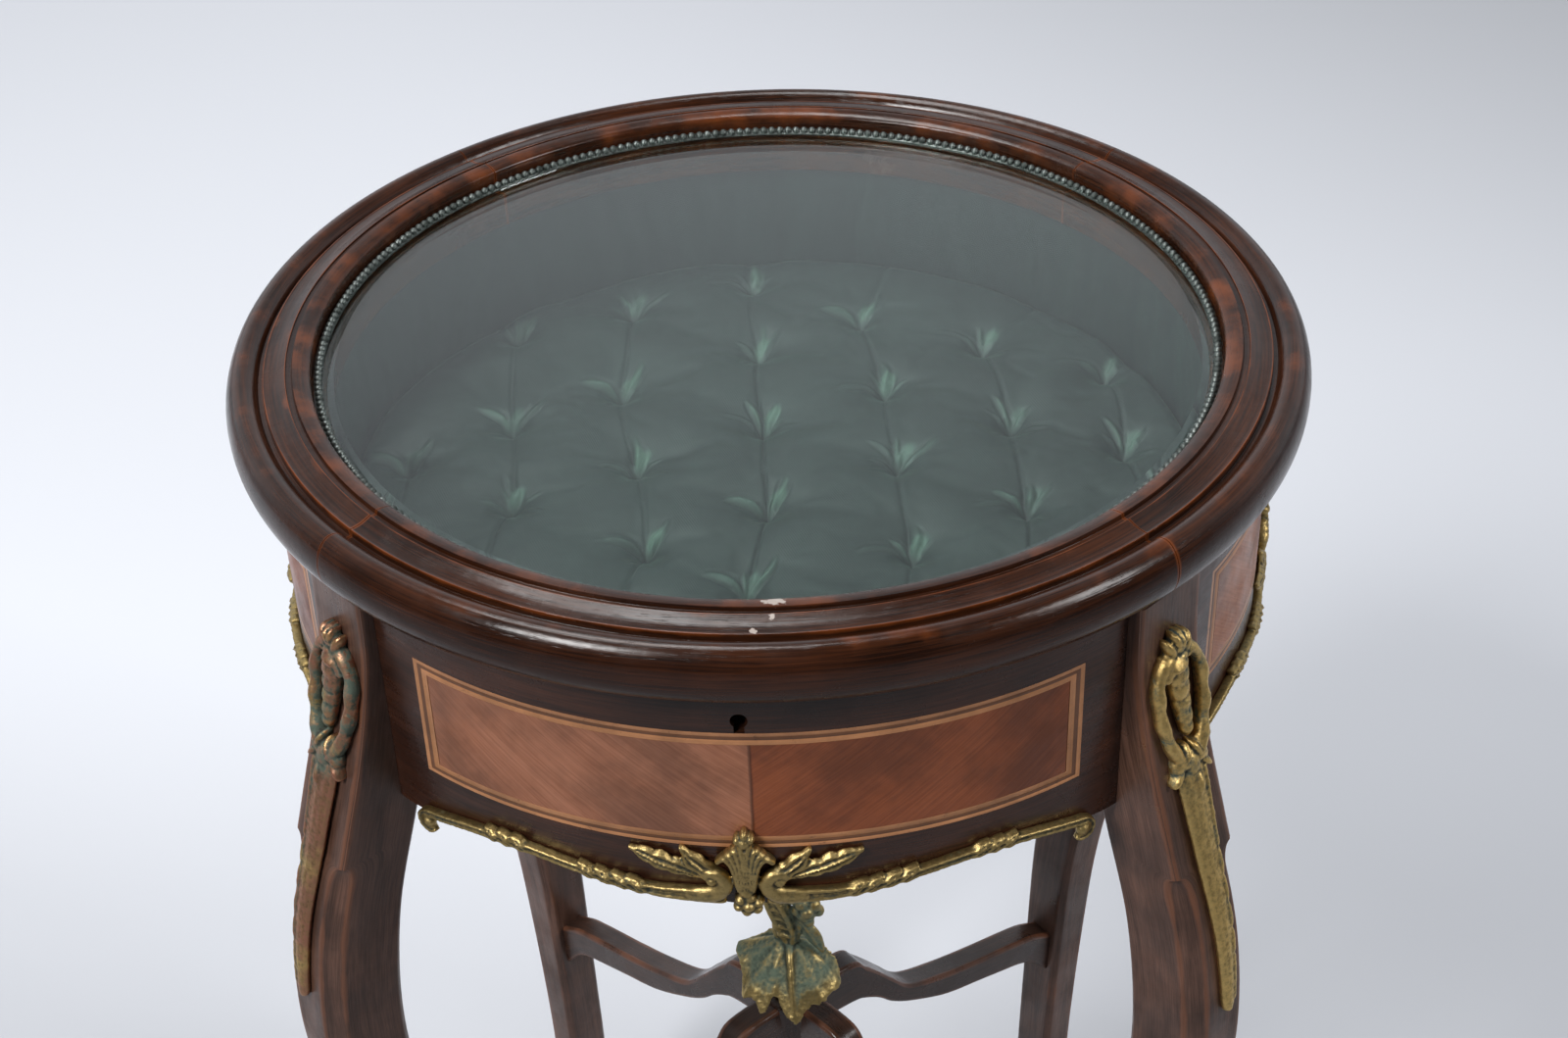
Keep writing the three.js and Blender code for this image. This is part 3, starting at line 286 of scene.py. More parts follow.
def lofted(
    name: str, rings: Array, closed: bool = True, looped: bool = False, capped: bool = True,
    wear_and_highlight: Array | None = None,
) -> Piece:
    """A skin over rows of points, with its grain laid along the rows.

    Args:
        name: The piece's name.
        rings: Array of rings, of points, of three millimetre values.
        closed: Whether each ring closes on itself.
        looped: Whether the last ring joins the first.
        capped: Whether the first and last ring are filled.
        wear_and_highlight: Worn places, and painted highlights on silk, as one number for each point, or for
            each place in a ring.

    Returns:
        The new object.
    """
    n, m = rings.shape[:2]
    rows = np.arange(n if looped else n - 1)
    cols = np.arange(m if closed else m - 1)
    i, j = (a.ravel() for a in np.meshgrid(rows, cols, indexing="ij"))
    k, l = (i + 1) % n, (j + 1) % m
    quads = np.stack([i * m + j, i * m + l, k * m + l, k * m + j], -1)
    centre = rings.reshape(-1, 3).mean(0)
    flat = rings.reshape(-1, 3) - centre
    a, b, c, d = (flat[quads[:, q]] for q in range(4))
    volume = (np.einsum("ij,ij->i", a, np.cross(b, c)) + np.einsum("ij,ij->i", a, np.cross(c, d))).sum()
    flip = closed and volume < 0
    if flip:
        quads = quads[:, ::-1]
    faces = quads.tolist()
    caps = []
    if closed and capped and not looped:
        caps = [list(range(m))[::-1], list(range((n - 1) * m, n * m))]
        if flip:
            caps = [face[::-1] for face in caps]
        faces += caps
    piece = piece_of(name, rings, faces)
    middle = rings.mean(1)
    along = run_of(np.vstack([middle, middle[:1]]) if looped else middle)
    widest = rings[n // 2]
    across = run_of(np.vstack([widest, widest[:1]]) if closed else widest)
    u = np.stack([i, i, i + 1, i + 1], -1)
    v = np.stack([j, j + 1, j + 1, j], -1)
    if flip:
        u, v = u[:, ::-1], v[:, ::-1]
    uv = np.stack([along[u.ravel()], across[v.ravel()]], -1) * MM
    for cap in caps:
        uv = np.vstack([uv, np.stack([np.full(m, 0.5), across[np.array(cap) % m] * MM], -1)])
    layer = piece.data.uv_layers.new(name="grain")
    layer.data.foreach_set("uv", uv.astype(np.float32).ravel())
    if wear_and_highlight is not None:
        paint(piece, "wear_and_highlight", np.broadcast_to(wear_and_highlight, (n, m)))
    return piece


def settled(piece: Piece) -> Piece:
    """Makes a piece's modifiers part of its mesh.

    Args:
        piece: The piece.

    Returns:
        The same piece, with no modifiers left.
    """
    ready = piece.evaluated_get(bpy.context.evaluated_depsgraph_get())
    mesh = bpy.data.meshes.new_from_object(ready)
    old = piece.data
    piece.modifiers.clear()
    piece.data = mesh
    bpy.data.meshes.remove(old)
    mesh.name = piece.name
    return piece


def discard(piece: Piece) -> None:
    """Removes a piece that was only a tool."""
    mesh = piece.data
    bpy.data.objects.remove(piece)
    bpy.data.meshes.remove(mesh)


def cut_by(piece: Piece, tools: Sequence[Piece]) -> None:
    """Cuts closed tools out of a piece, and removes them.

    Args:
        piece: The piece to cut.
        tools: Closed meshes.
    """
    for tool in tools:
        shaped(piece, "BOOLEAN", operation="DIFFERENCE", solver="EXACT", object=tool)
    settled(piece)
    for tool in tools:
        discard(tool)


def softened(piece: Piece, width: float, angle: float, steps: int) -> Piece:
    """Rounds a piece's sharp edges.

    Args:
        piece: The piece.
        width: How far the rounding reaches, in millimetres.
        angle: The least angle that is rounded, in degrees.
        steps: Steps round each edge.

    Returns:
        The piece.
    """
    shaped(
        piece, "BEVEL", width=width * MM, segments=steps, limit_method="ANGLE",
        angle_limit=math.radians(angle), harden_normals=True,
    )
    return settled(piece)


def creased(piece: Piece, angle: float = 32) -> Piece:
    """Keeps edges sharper than an angle crisp in the shading.

    Args:
        piece: The piece.
        angle: The least angle between faces that stays crisp, in degrees.

    Returns:
        The piece.
    """
    work = bmesh.new()
    work.from_mesh(piece.data)
    limit = math.radians(angle)
    for edge in work.edges:
        edge.smooth = not (edge.is_manifold and edge.calc_face_angle(0) > limit)
    work.to_mesh(piece.data)
    work.free()
    return piece


def block(low: Sequence[float], high: Sequence[float]) -> Piece:
    """A straight block between two corners, as a tool."""
    (x0, y0, z0), (x1, y1, z1) = low, high
    ring = [[x0, y0], [x1, y0], [x1, y1], [x0, y1]]
    return lofted("tool", np.array([[[x, y, z] for x, y in ring] for z in (z0, z1)], float))


def spun(profile: Array, turns: Array) -> Array:
    """A profile of radii and heights set up at each angle round the table's axis."""
    return np.stack([polar(profile[:, 0], turn, profile[:, 1]) for turn in turns])


def hinge_recesses(low: float, high: float) -> list[Piece]:
    """Tools that let the two hinges into the back, between two heights."""
    return [
        block((x - HINGE_HALF, HINGE_INNER, low), (x + HINGE_HALF, HINGE_OUTER, high))
        for x in (-HINGE_PLACE, HINGE_PLACE)
    ]


def joined(name: str, pieces: Sequence[Piece]) -> Piece:
    """Puts several meshes into one piece.

    Args:
        name: The new piece's name.
        pieces: Its parts, which are removed.

    Returns:
        The new piece.
    """
    work = bmesh.new()
    for piece in pieces:
        work.from_mesh(piece.data)
    mesh = bpy.data.meshes.new(name)
    work.to_mesh(mesh)
    work.free()
    for piece in pieces:
        discard(piece)
    return placed(name, mesh)


def shifted(rows: Rows, up: float, way: float = 1) -> list[list[float]]:
    """Rows of place across, place up and sizes, moved up, and turned left to right where way is -1."""
    return [[way * across, up + height, *rest] for across, height, *rest in rows]


@dataclass
class Casting:
    """Limbs and bosses, modelled on a surface where there is one, and melted into one cast piece."""

    name: str
    surface: Mapping | None = None
    sunk: float = -0.9
    facets: int = 12
    dome: tuple = ((-1, 0.25), (-0.8, 0.62), (-0.4, 0.93), (0, 1), (0.4, 0.93), (0.8, 0.62), (1, 0.25))
    parts: list[Piece] = field(default_factory=list)

    def limb(self, rows: Rows, count: int) -> None:
        """Adds a limb of rounded section along a smooth line.

        Args:
            rows: Rows of place across, place up, half width and how proud.
            count: Rings along the limb.
        """
        line = flowing(rows, count)
        way = heading(line[:, :2])
        tip = np.sqrt(np.clip(1 - np.abs(np.linspace(-1, 1, count)) ** (count / 3), 0.03, 1))
        phase = np.linspace(0, 2 * math.pi, self.facets, endpoint=False)
        half = line[:, 2] * tip
        middle = (line[:, 3] + self.sunk) / 2
        lift = (line[:, 3] - self.sunk) / 2 * (0.45 + 0.55 * tip)
        side = half[:, None] * np.cos(phase)
        across = line[:, :1] - way[:, 1:] * side
        up = line[:, 1:2] + way[:, :1] * side
        proud = middle[:, None] + lift[:, None] * np.sin(phase)
        self.parts.append(lofted(f"{self.name}_limb", self.surface(across, up, proud)))

    def boss(
        self, across: float, up: float, width: float, height: float, proud: float, tilt: float = 0,
    ) -> None:
        """Adds a rounded boss.

        Args:
            across: Place across the surface.
            up: Place up it.
            width: Its size across.
            height: Its size up.
            proud: How far it stands out.
            tilt: Degrees that it leans.
        """
        turn = math.radians(tilt)
        way = np.array([math.sin(turn), math.cos(turn)]) * height * 0.5
        rows = []
        for along, full in self.dome:
            place = [across + way[0] * along, up + way[1] * along]
            rows.append([*place, width / 2 * full, proud * (0.4 + 0.6 * full)])
        self.limb(rows, 16)

    def leaf(self, rows: Rows, teeth: float, count: int, mirrored: bool) -> None:
        """Adds a leaf with a raised rib and notched edges.

        Args:
            rows: Rows of place across, place up, half width and how proud, from stem to tip.
            teeth: How many notches there are on each edge.
            count: Rings along the leaf.
            mirrored: Whether to swap left and right.
        """
        line = flowing(rows, count)
        if mirrored:
            line[:, 0] *= -1
        share = np.linspace(0, 1, count)
        notch = 1 - 0.34 * (1 - np.abs(np.sin(math.pi * teeth * share)) ** 0.6)
        way = heading(line[:, :2])
        spread = np.array([-1, -0.62, -0.22, 0, 0.22, 0.62, 1, 0.5, -0.5])
        lift = np.array([0.3, 0.86, 0.58, 1.05, 0.58, 0.86, 0.3, 0, 0])
        side = (line[:, 2] * notch)[:, None] * spread
        # The edges sweep towards the tip, so each notch points along the leaf
        forward = np.abs(side) * 0.35
        across = line[:, :1] - way[:, 1:] * side + way[:, :1] * forward
        up = line[:, 1:2] + way[:, :1] * side + way[:, 1:] * forward
        proud = self.sunk + (line[:, 3:4] - self.sunk) * lift
        self.parts.append(lofted(f"{self.name}_leaf", self.surface(across, up, proud)))

    def cast(self, voxel: float, rough: float) -> Piece:
        """Melts the limbs into one form with a cast skin.

        Args:
            voxel: Grain of the form in millimetres.
            rough: Depth of the cast skin's unevenness.

        Returns:
            The piece.
        """
        whole = joined(self.name, self.parts)
        skin = bpy.data.textures.get("cast_skin") or bpy.data.textures.new("cast_skin", "CLOUDS")
        skin.noise_scale = 0.0035
        depth = rough * 2 * MM
        shaped(whole, "REMESH", mode="VOXEL", voxel_size=voxel * MM, use_smooth_shade=True)
        shaped(whole, "SMOOTH", factor=0.5, iterations=2)
        shaped(whole, "DISPLACE", texture=skin, texture_coords="LOCAL", strength=depth, mid_level=0.5)
        return settled(whole)


# Finishes


class Graph:
    """A short way of laying nodes in a tree."""

    def __init__(self, tree: Tree) -> None:
        """Takes the tree that the nodes go in."""
        self.tree = tree

    def add(self, kind: str, values: dict | None = None, **settings: object) -> bpy.types.Node:
        """Adds a node.

        Args:
            kind: The node's type, without its ShaderNode prefix.
            values: Socket name or number to a value, or to a socket to link.
            settings: Properties of the node.

        Returns:
            The node.
        """
        node = self.tree.nodes.new("ShaderNode" + kind)
        adjust(node, **settings)
        return self.fill(node, values or {})

    def fill(self, node: bpy.types.Node, values: dict) -> bpy.types.Node:
        """Links or sets the inputs of a node.

        Args:
            node: The node.
            values: Socket name or number to a value or socket.

        Returns:
            The node.
        """
        for key, value in values.items():
            if isinstance(value, Socket):
                self.tree.links.new(value, node.inputs[key])
            elif isinstance(value, tuple) and len(value) == 3 and node.inputs[key].type == "RGBA":
                node.inputs[key].default_value = (*value, 1)
            else:
                node.inputs[key].default_value = value
        return node

    def maths(self, operation: str, *values: object, clamp: bool = False) -> Socket:
        """A number worked out from others."""
        return self.add("Math", dict(enumerate(values)), operation=operation, use_clamp=clamp).outputs[0]

    def times(self, *values: object, clamp: bool = False) -> Socket:
        """A product."""
        return self.maths("MULTIPLY", *values, clamp=clamp)

    def plus(self, *values: object, clamp: bool = False) -> Socket:
        """A sum."""
        return self.maths("ADD", *values, clamp=clamp)

    def less(self, *values: object) -> Socket:
        """A difference."""
        return self.maths("SUBTRACT", *values)

    def parts(self, vector: Socket) -> Sequence[Socket]:
        """The three parts of a vector."""
        return self.add("SeparateXYZ", {0: vector}).outputs

    def scaled(self, vector: Socket, by: Colour) -> Socket:
        """A vector multiplied part by part."""
        return self.add("VectorMath", {0: vector, 1: by}, operation="MULTIPLY").outputs[0]

    def sized(self, given: dict, by: str) -> Socket:
        """A group's vector, times one of its numbers."""
        return self.add("VectorMath", {0: given["Vector"], 3: given[by]}, operation="SCALE").outputs[0]

    def noise(
        self, vector: object, scale: float, detail: float = 3, rough: float = 0.5, warp: float = 0,
    ) -> Socket:
        """Cloudy noise between 0 and 1."""
        values = {"Vector": vector, "Scale": scale, "Detail": detail, "Roughness": rough, "Distortion": warp}
        return self.add("TexNoise", values).outputs["Fac"]

    def between(self, value: object, low: float, high: float, start: float = 0, end: float = 1) -> Socket:
        """A value carried smoothly from one range to another."""
        values = {"Value": value, "From Min": low, "From Max": high, "To Min": start, "To Max": end}
        return self.add("MapRange", values, interpolation_type="SMOOTHSTEP").outputs["Result"]

    def blend(self, share: object, first: object, second: object, mode: str = "MIX") -> Socket:
        """One colour turning into another."""
        node = self.add("Mix", {0: share, 6: first, 7: second}, data_type="RGBA", blend_type=mode)
        return node.outputs[2]

    def bump(self, height: Socket, strength: float, depth: float) -> Socket:
        """A normal that follows a height."""
        return self.add("Bump", {"Height": height, "Strength": strength, "Distance": depth}).outputs[0]

    def principled(self, colour: object, rough: object, more: dict) -> Socket:
        """The shader of every finish."""
        return self.add("BsdfPrincipled", {"Base Color": colour, "Roughness": rough} | more).outputs[0]

    def toned(self, colour: Socket, shade: Socket) -> Socket:
        """A colour made darker or lighter by a number."""
        return self.blend(1.0, colour, shade, "MULTIPLY")

    def use(self, group: Tree, values: dict) -> bpy.types.Node:
        """Places a shared group.

        Args:
            group: The shared group.
            values: Its inputs by name.

        Returns:
            The group's node.
        """
        node = self.tree.nodes.new("ShaderNodeGroup")
        node.node_tree = group
        return self.fill(node, values)


def shaded(colour: Colour, by: float) -> Colour:
    """A colour made darker or lighter."""
    return tuple(part * by for part in colour)


def shared_group(name: str, inputs: dict[str, object], outputs: Sequence[str]) -> Callable:
    """Makes a function that lays nodes give a shared node group, built once.

    Args:
        name: The group's name.
        inputs: Input name to its starting value, or None for a vector.
        outputs: Output names, all plain numbers.

    Returns:
        A decorator. Its function takes the graph and the inputs by name, and gives the outputs in order.
    """

    def of_nodes(lay: Callable) -> Callable:
        """Takes the function that lays the nodes."""

        def group() -> Tree:
            """Finds the group, or builds it."""
            tree = bpy.data.node_groups.get(name)
            if tree:
                return tree
            tree = bpy.data.node_groups.new(name, "ShaderNodeTree")
            for label, value in inputs.items():
                kind = "NodeSocketVector" if value is None else "NodeSocketFloat"
                socket = tree.interface.new_socket(name=label, in_out="INPUT", socket_type=kind)
                if value is not None:
                    socket.default_value = value
            for label in outputs:
                tree.interface.new_socket(name=label, in_out="OUTPUT", socket_type="NodeSocketFloat")
            given = tree.nodes.new("NodeGroupInput").outputs
            sink = tree.nodes.new("NodeGroupOutput").inputs
            for label, socket in zip(outputs, lay(Graph(tree), {label: given[label] for label in inputs})):
                tree.links.new(socket, sink[label])
            return tree

        return group

    return of_nodes


@shared_group("wood_grain", {"Vector": None, "Scale": 1.0}, ["Figure", "Fibre", "Pores"])
def grain_group(g: Graph, given: dict) -> list:
    """Wood grain: broad figure, fibres and pores, running along the vector's first part."""
    at = g.sized(given, "Scale")
    figure = g.noise(g.scaled(at, (7, 55, 30)), 1, 4, 0.55, 1.4)
    fibre = g.noise(g.scaled(at, (28, 900, 300)), 1, 3, 0.6, 0.3)
    pore = g.noise(g.scaled(at, (110, 2600, 900)), 1, 2, 0.5)
    return [g.between(figure, 0.3, 0.7), g.between(fibre, 0.3, 0.7), g.between(pore, 0.62, 0.75)]


@shared_group("edge_wear", {"Edge": 0.0, "Vector": None, "Scale": 60.0, "Amount": 1.0}, ["Worn"])
def wear_group(g: Graph, given: dict) -> list:
    """Worn edges: breaks a painted mask of them up with uneven rubbing, and on one leg the mask also holds a
    painted reflection.
    """
    patch = g.noise(given["Vector"], given["Scale"], 5.0)
    rubbed_and_reflection = g.plus(given["Edge"], g.times(g.less(patch, 0.5), 1.6))
    return [g.times(g.between(rubbed_and_reflection, 0.42, 1.0), given["Amount"], clamp=True)]


@shared_group("tarnish", {"Vector": None, "Green": 0.5}, ["Green", "Dark", "Fine"])
def tarnish_group(g: Graph, given: dict) -> list:
    """Tarnish on cast metal: green in patches and hollows, and dark in the deepest ones."""
    crest = g.between(g.add("NewGeometry").outputs["Pointiness"], 0.42, 0.6)
    patch = g.noise(given["Vector"], 70, 5, 0.62, 0.5)
    fine = g.noise(given["Vector"], 420, 4, 0.65)
    hollow = g.less(1.0, crest)
    green = g.plus(g.times(hollow, 0.55), g.times(patch, 0.95))
    green = g.plus(green, g.times(g.less(fine, 0.5), 0.5))
    green = g.between(g.plus(green, g.less(given["Green"], 0.5)), 0.72, 1.12)
    dark = g.between(g.plus(hollow, g.times(fine, 0.5)), 0.72, 1.15)
    return [green, dark, fine]


@shared_group("ribbed_weave", {"Vector": None, "Threads": 1600.0}, ["Height"])
def weave_group(g: Graph, given: dict) -> list:
    """A fine ribbed weave, as a height."""
    across, along, _ = g.parts(g.sized(given, "Threads"))
    warp = g.maths("SINE", g.times(across, 2 * math.pi))
    weft = g.maths("SINE", g.times(along, math.pi))
    return [g.maths("MULTIPLY_ADD", g.times(warp, weft), 0.5, 0.5)]


@shared_group("dust", {"Vector": None, "Amount": 0.3}, ["Dust"])
def dust_group(g: Graph, given: dict) -> list:
    """Specks and a thin film of dust on faces that look up."""
    normal = g.add("NewGeometry").outputs["Normal"]
    up = g.between(g.parts(normal)[2], 0.25, 0.95)
    speck = g.between(g.noise(given["Vector"], 900, 2), 0.72, 0.8)
    film = g.between(g.noise(given["Vector"], 22, 4, 0.6), 0.35, 0.8, 0, 0.35)
    both = g.plus(speck, film, clamp=True)
    return [g.times(g.times(both, up), given["Amount"])]


@dataclass(frozen=True)
class Finish:
    """What every finish has: a name, and the space that its pattern lies in."""

    name: str
    space: Space = Space.SOLID

    def make(self) -> bpy.types.Material:
        """The finish's material, built the first time that it is asked for.

        Returns:
            The material.
        """
        found = bpy.data.materials.get(self.name)
        if found:
            return found
        material = bpy.data.materials.new(self.name)
        material.use_nodes = True
        tree = material.node_tree
        tree.nodes.clear()
        graph = Graph(tree)
        at = graph.add("TexCoord").outputs[self.space.value]
        shader = self.lay(graph, at)
        graph.add("OutputMaterial", {"Surface": shader})
        return material

    def lay(self, g: Graph, at: Socket) -> Socket:
        """Lays the nodes of the finish.

        Args:
            g: The material's graph.
            at: Where each point of the surface is.

        Returns:
            The shader's socket.
        """
        raise NotImplementedError

    def painted(self, g: Graph) -> Socket:
        """The number painted on each of the piece's points: worn places on wood and metal, painted highlights
        on silk, and a painted reflection on one leg.
        """
        return g.add("Attribute", attribute_name="wear_and_highlight").outputs["Fac"]


@dataclass(frozen=True)
class PolishedWood(Finish):
    """French-polished wood: dark and light grain, a red glow on worn places and on one leg's painted
    reflection, dust and chips.
    """

    space: Space = Space.GRAIN
    dark: Colour = (0.010, 0.005, 0.0035)
    light: Colour = (0.040, 0.016, 0.009)
    rubbed_and_reflection: Colour = (0.20, 0.062, 0.018)
    wear_and_highlight: float = 0.75
    figure: float = 0.4
    cloud: float = 0.25
    scale: float = 1.0
    gloss: float = 0.2
    sheen: float = 0.5
    dust: float = 0.06
    film: Colour = (0.34, 0.33, 0.32)
    chalk: Colour = (0.42, 0.36, 0.32)
    slant: float = 0.0
    seam_at: float | None = None
    chips: tuple = ()

    def lay(self, g: Graph, at: Socket) -> Socket:
        """Lays grain, rubbing, dust and polish."""
        place = at
        if self.slant:
            place = g.add("VectorRotate", {"Vector": at, "Angle": math.radians(self.slant)}).outputs[0]
        grain = g.use(grain_group(), {"Vector": place, "Scale": self.scale})
        body = g.add("TexCoord").outputs["Object"]
        fibre, pores = grain.outputs["Fibre"], grain.outputs["Pores"]
        tone = g.plus(g.times(grain.outputs["Figure"], self.figure), g.times(fibre, 1 - self.figure))
        cloud = g.between(g.noise(body, 20, 4, 0.6), 0.36, 0.62, 1 - self.cloud, 1 + 0.2 * self.cloud)
        colour = g.toned(g.blend(tone, self.dark, self.light), cloud)
        rubbing = {"Edge": self.painted(g), "Vector": body, "Scale": 45.0, "Amount": self.wear_and_highlight}
        colour = g.blend(g.use(wear_group(), rubbing).outputs["Worn"], colour, self.rubbed_and_reflection)
        colour = g.blend(g.times(pores, 0.6), colour, shaded(self.dark, 0.35))
        if self.seam_at is not None:
            along = g.parts(at)[0]
            shift = g.times(g.less(g.noise(body, 120, 4), 0.5), 0.0009)
            gap = g.maths("ABSOLUTE", g.plus(g.less(along, self.seam_at), shift))
            colour = g.blend(g.between(gap, 0.0002, 0.0012, 0.75, 0), colour, shaded(self.dark, 0.3))
        for *place_of, size in self.chips:
            shift = g.add("VectorMath", {0: body, 1: tuple(place_of)}, operation="SUBTRACT").outputs[0]
            far = g.add("VectorMath", {0: shift}, operation="LENGTH").outputs["Value"]
            far = g.plus(far, g.times(g.less(g.noise(body, 420, 4), 0.5), 0.004))
            colour = g.blend(g.between(far, size * 0.8, size, 0.92, 0), colour, self.chalk)
        dust = g.use(dust_group(), {"Vector": body, "Amount": self.dust}).outputs["Dust"]
        colour = g.blend(dust, colour, self.film)
        smear = g.between(g.noise(body, 30, 5, 0.65), 0.3, 0.75, self.gloss * 0.8, self.gloss * 1.7)
        rough = g.plus(smear, g.times(dust, 0.5))
        lift = g.less(g.times(fibre, 0.3), pores)
        lift = g.plus(lift, g.times(g.noise(body, 160, 4), 1.6))
        bump = g.bump(lift, 0.18, 0.0004)
        return g.principled(colour, rough, {"Normal": bump, "IOR": 1.5, "Specular IOR Level": self.sheen})


@dataclass(frozen=True)
class Inlay(Finish):
    """A thin inlaid line of plain wood, with small breaks and soot in its joints."""

    space: Space = Space.GRAIN
    colour: Colour = (0.52, 0.235, 0.105)
    soot: Colour = (0.05, 0.022, 0.012)
    gloss: float = 0.34

    def lay(self, g: Graph, at: Socket) -> Socket:
        """Lays the line's fibres and soot."""
        body = g.add("TexCoord").outputs["Object"]
        grain = g.use(grain_group(), {"Vector": at, "Scale": 1.0})
        shade = g.between(g.noise(body, 55, 5, 0.6), 0.25, 0.75, 0.72, 1.12)
        fibre = grain.outputs["Fibre"]
        colour = g.blend(g.times(fibre, 0.3), self.colour, shaded(self.colour, 0.6))
        colour = g.toned(colour, shade)
        colour = g.blend(g.between(g.noise(body, 240, 4, 0.7), 0.6, 0.78), colour, self.soot)
        bump = g.bump(g.noise(body, 700, 3), 0.2, 0.0003)
        return g.principled(colour, self.gloss, {"Normal": bump, "Specular IOR Level": 0.4})


@dataclass(frozen=True)
class CastBrass(Finish):
    """Old cast brass: bright on its crests, green in patches and dark in its hollows."""

    metal: Colour = (0.62, 0.44, 0.165)
    copper: Colour = (0.50, 0.235, 0.15)
    verdigris: Colour = (0.115, 0.15, 0.115)
    soot: Colour = (0.022, 0.018, 0.012)
    green: float = 0.42
    coppery: float = 0.0
    shine: float = 0.38

    def lay(self, g: Graph, at: Socket) -> Socket:
        """Lays the metal, its tarnish and its cast skin."""
        tarnish = g.use(tarnish_group(), {"Vector": at, "Green": self.green})
        patch = g.between(g.noise(at, 38, 4, 0.6), 0.62 - 0.5 * self.coppery, 0.85 - 0.5 * self.coppery)
        metal = g.blend(g.times(patch, min(1.0, self.coppery * 2.2)), self.metal, self.copper)
        fine, dark = tarnish.outputs["Fine"], tarnish.outputs["Dark"]
        metal = g.blend(g.between(fine, 0.35, 0.7, 0, 0.45), metal, shaded(self.metal, 0.55))
        green = g.times(tarnish.outputs["Green"], g.less(1.0, self.painted(g)), clamp=True)
        colour = g.blend(green, metal, self.verdigris)
        colour = g.blend(g.times(dark, 0.88), colour, self.soot)
        dull = g.maths("MAXIMUM", green, g.times(dark, 0.9))
        rough = g.between(dull, 0, 1, self.shine, 0.72)
        metallic = g.between(dull, 0.2, 1, 1, 0.35)
        lift = g.plus(g.times(fine, 0.6), g.noise(at, 1500, 2))
        bump = g.bump(lift, 0.32, 0.0004)
        return g.principled(colour, rough, {"Metallic": metallic, "Normal": bump})


@dataclass(frozen=True)
class PlainMetal(Finish):
    """Filed or drawn metal with fine scratches and a light tarnish."""

    metal: Colour = (0.42, 0.45, 0.42)
    soot: Colour = (0.03, 0.035, 0.03)
    tarnished: float = 0.5
    shine: float = 0.28

    def lay(self, g: Graph, at: Socket) -> Socket:
        """Lays the metal, its scratches and its tarnish."""
        stain = g.between(g.noise(at, 120, 5, 0.65), 0.7 - self.tarnished * 0.45, 0.8)
        scratch = g.noise(g.scaled(at, (2600, 240, 2600)), 1, 3, 0.6)
        colour = g.blend(g.times(stain, 0.85), self.metal, self.soot)
        rough = g.plus(g.times(stain, 0.35), self.shine)
        bump = g.bump(scratch, 0.15, 0.0002)
        return g.principled(colour, rough, {"Metallic": 1.0, "Normal": bump})


@dataclass(frozen=True)
class OldGlass(Finish):
    """Clear old glass with a green cast and faint smears, which lets light through to the silk."""

    tint: Colour = (0.86, 0.94, 0.92)
    cast: Colour = (0.80, 0.90, 0.87)

    def lay(self, g: Graph, at: Socket) -> Socket:
        """Lays the glass, and tinted air in its place for shadows."""
        rough = g.between(g.noise(at, 26, 5, 0.6), 0.45, 0.8, 0.004, 0.03)
        wave = g.bump(g.noise(at, 6, 1), 0.02, 0.001)
        glass = g.principled(self.tint, rough, {"Normal": wave, "IOR": 1.5, "Transmission Weight": 1.0})
        clear = g.add("BsdfTransparent", {"Color": self.cast}).outputs[0]
        shadow = g.add("LightPath").outputs["Is Shadow Ray"]
        return g.add("MixShader", {0: shadow, 1: glass, 2: clear}).outputs[0]


@dataclass(frozen=True)
class Silk(Finish):
    """Dull satin silk: a fine rib, a sheen, and paler colour painted on its pleats and folds as highlights.
    """

    deep: Colour = (0.0065, 0.0115, 0.0100)
    pale: Colour = (0.062, 0.105, 0.080)
    sheen: Colour = (0.3, 0.55, 0.45)

    def lay(self, g: Graph, at: Socket) -> Socket:
        """Lays the cloth's colour, weave and sheen."""
        weave = g.use(weave_group(), {"Vector": at, "Threads": 820.0}).outputs["Height"]
        cloud = g.between(g.noise(at, 14, 4, 0.6), 0.3, 0.72)
        colour = g.blend(cloud, self.deep, shaded(self.deep, 1.35))
        # Painted highlights: paler colour where the points carry the pleats' and folds' highlights
        lit = g.times(self.painted(g), g.between(weave, 0, 1, 0.55, 1.0), clamp=True)
        colour = g.blend(lit, colour, self.pale)
        lift = g.plus(g.times(weave, 0.5), g.noise(at, 190, 3))
        bump = g.bump(lift, 0.22, 0.0004)
        return g.principled(colour, 0.5, {
            "Normal": bump, "Sheen Weight": 0.05, "Sheen Roughness": 0.4, "Sheen Tint": self.sheen,
            "Specular IOR Level": 0.3,
        })


@dataclass(frozen=True)
class Backdrop(Finish):
    """The pale floor, which keeps the object's shadow."""

    colour: Colour = (0.76, 0.78, 0.83)

    def lay(self, g: Graph, at: Socket) -> Socket:
        """Lays a matt, very slightly uneven ground, with painted shade that darkens it towards the right and
        the back, and towards the front.
        """
        cloud = g.noise(at, 0.8, 2)
        across, back, _ = g.parts(at)
        # Painted shade: darker towards the right and the back, where the table's soft shadow falls, and
        # darker towards the front, on the camera's side
        aslant = g.maths("MULTIPLY_ADD", back, 0.6, across)
        shade = g.between(aslant, 0.4, 2.6, 1.0, 0.66)
        front = g.between(back, -0.5, 0.8, 0.35, 1.0)
        colour = g.blend(cloud, self.colour, shaded(self.colour, 1.03))
        colour = g.toned(colour, g.times(shade, front))
        return g.principled(colour, 0.9, {"Specular IOR Level": 0.1})


